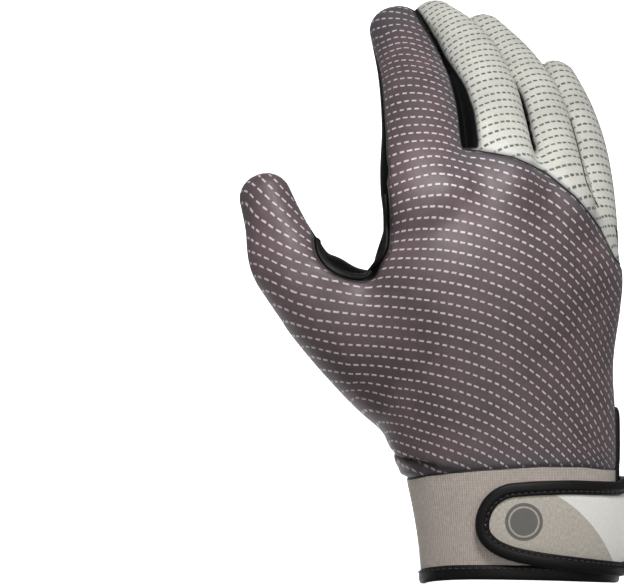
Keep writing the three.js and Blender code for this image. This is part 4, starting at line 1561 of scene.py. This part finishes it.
def strap_line():
    """The strap's outline as angles and heights on the hand, from root to tip and back to root."""
    phi, z = picture_to_hand(STRAP_EDGE["x"], STRAP_EDGE["z"], 3.0)
    root = phi_at_y(STRAP_ROOT_DEPTH, 20.0)[0]
    ends = []
    for at in (0, -1):
        steps = np.linspace(phi[at], root, 7)[1:]
        ends.append(np.stack([steps, np.full(6, z[at])], 1))
    line = np.concatenate([ends[0][::-1], np.stack([phi, z], 1), ends[1]])
    scale = np.array([30.0, 1.0])
    return smooth_line(line * scale, 0.7) / scale


def strap_lift(places):
    """How far the strap's underside stands off the hand at angles and heights: more where it goes
    round the edge, and where it lies over the hem."""
    round_edge = 1.3 * np.exp(-((places[:, 0] - 0.1) / 0.45) ** 2)
    return STRAP_RISE + np.maximum(round_edge, 0.7 * smooth_step(10.0, 6.5, places[:, 1]))


def make_strap():
    """The strap's binding with its stitches, and the cloth between its two edges."""
    line = strap_line()
    lift = strap_lift(line)
    path, up = hand_spot(line[:, 0], line[:, 1])
    path = path + up * lift[:, None]
    profile = rounded(STRAP_BINDING, 0.0, 2.5, 0.5, STRAP_STITCHES)
    inward = unit(np.cross(unit(np.gradient(path, axis=0)), up))
    middle = path.mean(0)
    side = np.sign(((middle - path) * inward).sum(1).mean())
    points, faces, uv = swept(path, up, mirrored(profile, side))
    finished("strap_tape", points, faces, tape, ["strap_binding"], uv)
    points, faces = stitches(path, up, side * STRAP_STITCHES, 2.3, 1.5, 2.25, 0.27)
    finished("strap_stitches", points, faces, thread)

    count = len(line) // 2
    inner = path + inward * side * 3.2
    first = inner[:count][::-1]
    second = inner[-count:]
    columns = 36
    share = np.linspace(0, 1, columns)[None, :, None]
    cross = first[:, None] * (1 - share) + second[:, None] * share
    from_middle = np.abs(2 * share - 1).ravel()
    surface = on_hand(cross.reshape(-1, 3))
    lift = strap_lift(surface)
    base, way = hand_spot(surface[:, 0], surface[:, 1])
    height = 1.15 + 0.7 * np.tile(1 - from_middle**4, count)
    points = base + way * (lift + height)[:, None]
    faces = grid_triangles(points, way, count, columns)
    seen = CAMERA_DISTANCE / (CAMERA_DISTANCE + points[:, 1])
    uv = np.stack(about_centre(points[:, 0], points[:, 2], seen), 1)
    points, faces = shell(points, faces, 1.2)
    finished("strap_cloth", points, faces, strap_fabric(), ["strap_face"],
             np.tile(uv, (2, 1)))


def on_hand(points):
    """Angles and heights on the hand's form under the given points."""
    phi = np.linspace(-1.6, math.pi + 1.4, 1200)
    out = np.empty((len(points), 2))
    out[:, 1] = points[:, 2]
    for k, point in enumerate(points):
        ring = hand_point(hand_row(point[2]), phi)
        out[k, 0] = phi[((ring[:, :2] - point[:2]) ** 2).sum(1).argmin()]
    return out


def make_slit_binding():
    """The tape up one side of the slit, round its top and down the other side."""
    low, high = 2.8, SLIT_TOP - 2.0
    gap = SLIT_HALF_WIDTH + 0.1
    heights = np.linspace(low, high, 60)
    seam = column(HAND, "little_seam", hand_row(heights))
    up_side = np.stack([seam - gap, heights], 1)
    down_side = np.stack([seam + gap, heights], 1)[::-1]
    turn = np.linspace(0, np.pi, 12)[1:-1]
    top = np.stack([seam[-1] - gap * np.cos(turn), high + gap * np.sin(turn)], 1)
    line = smooth_line(np.concatenate([up_side, top, down_side]), 0.8)
    phi = phi_at_y(line[:, 0], line[:, 1])
    path, up = hand_spot(phi, line[:, 1])
    profile = rounded(4.6, -2.2, 0.9)
    across = unit(np.cross(unit(np.gradient(path, axis=0)), up))
    side = np.sign((across[10] * np.array([0, -1.0, 0])).sum())
    points, faces, uv = swept(path, up, mirrored(profile, side))
    finished("slit_tape", points, faces, tape, ["slit_binding"], uv)


def make_patch():
    """The square patch on the palm's side of the cuff, with stitches round it."""
    x = PATCH["x"] + np.linspace(-0.5, 0.5, 40) * PATCH["width"]
    z = PATCH["z"] + np.linspace(-0.5, 0.5, 44) * PATCH["height"]
    grid_z, grid_x = np.meshgrid(z, x, indexing="ij")
    phi = 2 * np.pi - phi_at_x(grid_x.ravel(), grid_z.ravel())
    base, up = hand_spot(phi, grid_z.ravel())
    edge = np.minimum(PATCH["width"] / 2 - np.abs(grid_x - PATCH["x"]),
                      PATCH["height"] / 2 - np.abs(grid_z - PATCH["z"])).ravel()
    ditch = 0.22 * np.exp(-((edge - PATCH_STITCHES) / 0.35) ** 2)
    height = 0.35 + 0.75 * smooth_step(0, 0.9, edge) - ditch
    points = base + up * height[:, None]
    faces = grid_triangles(points, up, 44, 40)
    uv = np.stack([grid_x.ravel(), grid_z.ravel()], 1)
    points, faces = shell(points, faces, 0.9)
    finished("patch_cloth", points, faces, tape, ["cuff_patch"], np.tile(uv, (2, 1)))
    half_x, half_z = PATCH["width"] / 2 - PATCH_STITCHES, PATCH["height"] / 2 - PATCH_STITCHES
    corners = [(-half_x, -half_z), (half_x, -half_z), (half_x, half_z), (-half_x, half_z),
               (-half_x, -half_z)]
    line = np.concatenate([np.linspace(a, b, 30)[:-1] for a, b in zip(corners, corners[1:])])
    line = line + (PATCH["x"], PATCH["z"])
    phi = 2 * np.pi - phi_at_x(line[:, 0], line[:, 1])
    path, up = hand_spot(phi, line[:, 1])
    points, faces = stitches(path, up, 0.0, 0.95, 1.6, 2.3, 0.2)
    finished("patch_stitches", points, faces, thread)


def make_web_tape():
    """The rolled edge round the crotch of the thumb."""
    seam = seam_line({name: values[1:-1] for name, values in WEB_SEAM.items()}, 1.0)
    inward = unit(np.gradient(seam, axis=0) @ np.array([[0, 1], [-1, 0]]))
    middle = np.array([-60.0, 126.0])
    inward *= np.sign(((middle - seam) * inward).sum(1, keepdims=True))
    path, up = seen_places(tree, seam + inward * 1.35, level=True)
    path, up = softened(path, 3), unit(softened(up, 10))
    profile = [(c * 1.35, s * 0.75 + 0.1) for c, s in
               (superellipse(a, 2.4) for a in np.linspace(0, 2 * np.pi, 20, endpoint=False))]
    points, faces, uv = swept(path, up, profile)
    finished("web_tape", points, faces, tape, ["thumb_web_binding"], uv)


def make_seam_cords():
    """Thin cords of thread in the grooves between the panels."""
    points_all, faces_all = [], []
    for points, faces in (back, fingers):
        normals = normals_of(points, faces)
        for chain in loops_of(faces):
            if len(chain) < 120:
                continue
            path, up = points[chain], normals[chain]
            for _ in range(12):
                path = (np.roll(path, 1, 0) + 2 * path + np.roll(path, -1, 0)) / 4
                up = (np.roll(up, 1, 0) + 2 * up + np.roll(up, -1, 0)) / 4
            around = np.linspace(0, 2 * np.pi, 8, endpoint=False)
            profile = np.stack([np.cos(around), np.sin(around) - 1.0], 1) * 0.26
            made = swept(path - unit(up) * 0.1, unit(up), profile, closed=True)
            faces_all += [tuple(len(points_all) + k for k in face) for face in made[1]]
            points_all += list(made[0])
    finished("seam_cords", np.array(points_all), faces_all, thread)


def make_finger_seam():
    """The closed seam in the valley between the last two fingers."""
    path, up = seen_places(tree, seam_line(FINGER_SEAM, 0.8))
    path, up = softened(path, 4), unit(softened(up, 4))
    profile = [(math.cos(a) * 0.3, math.sin(a) * 0.3) for a in np.linspace(0, 5.5, 8)]
    points, faces, uv = swept(path, up, profile)
    finished("finger_seam", points, faces, thread, (), uv)


make_cuff()
make_hem()
make_web_tape()
make_seam_cords()
make_finger_seam()
make_strap()
make_slit_binding()
make_patch()
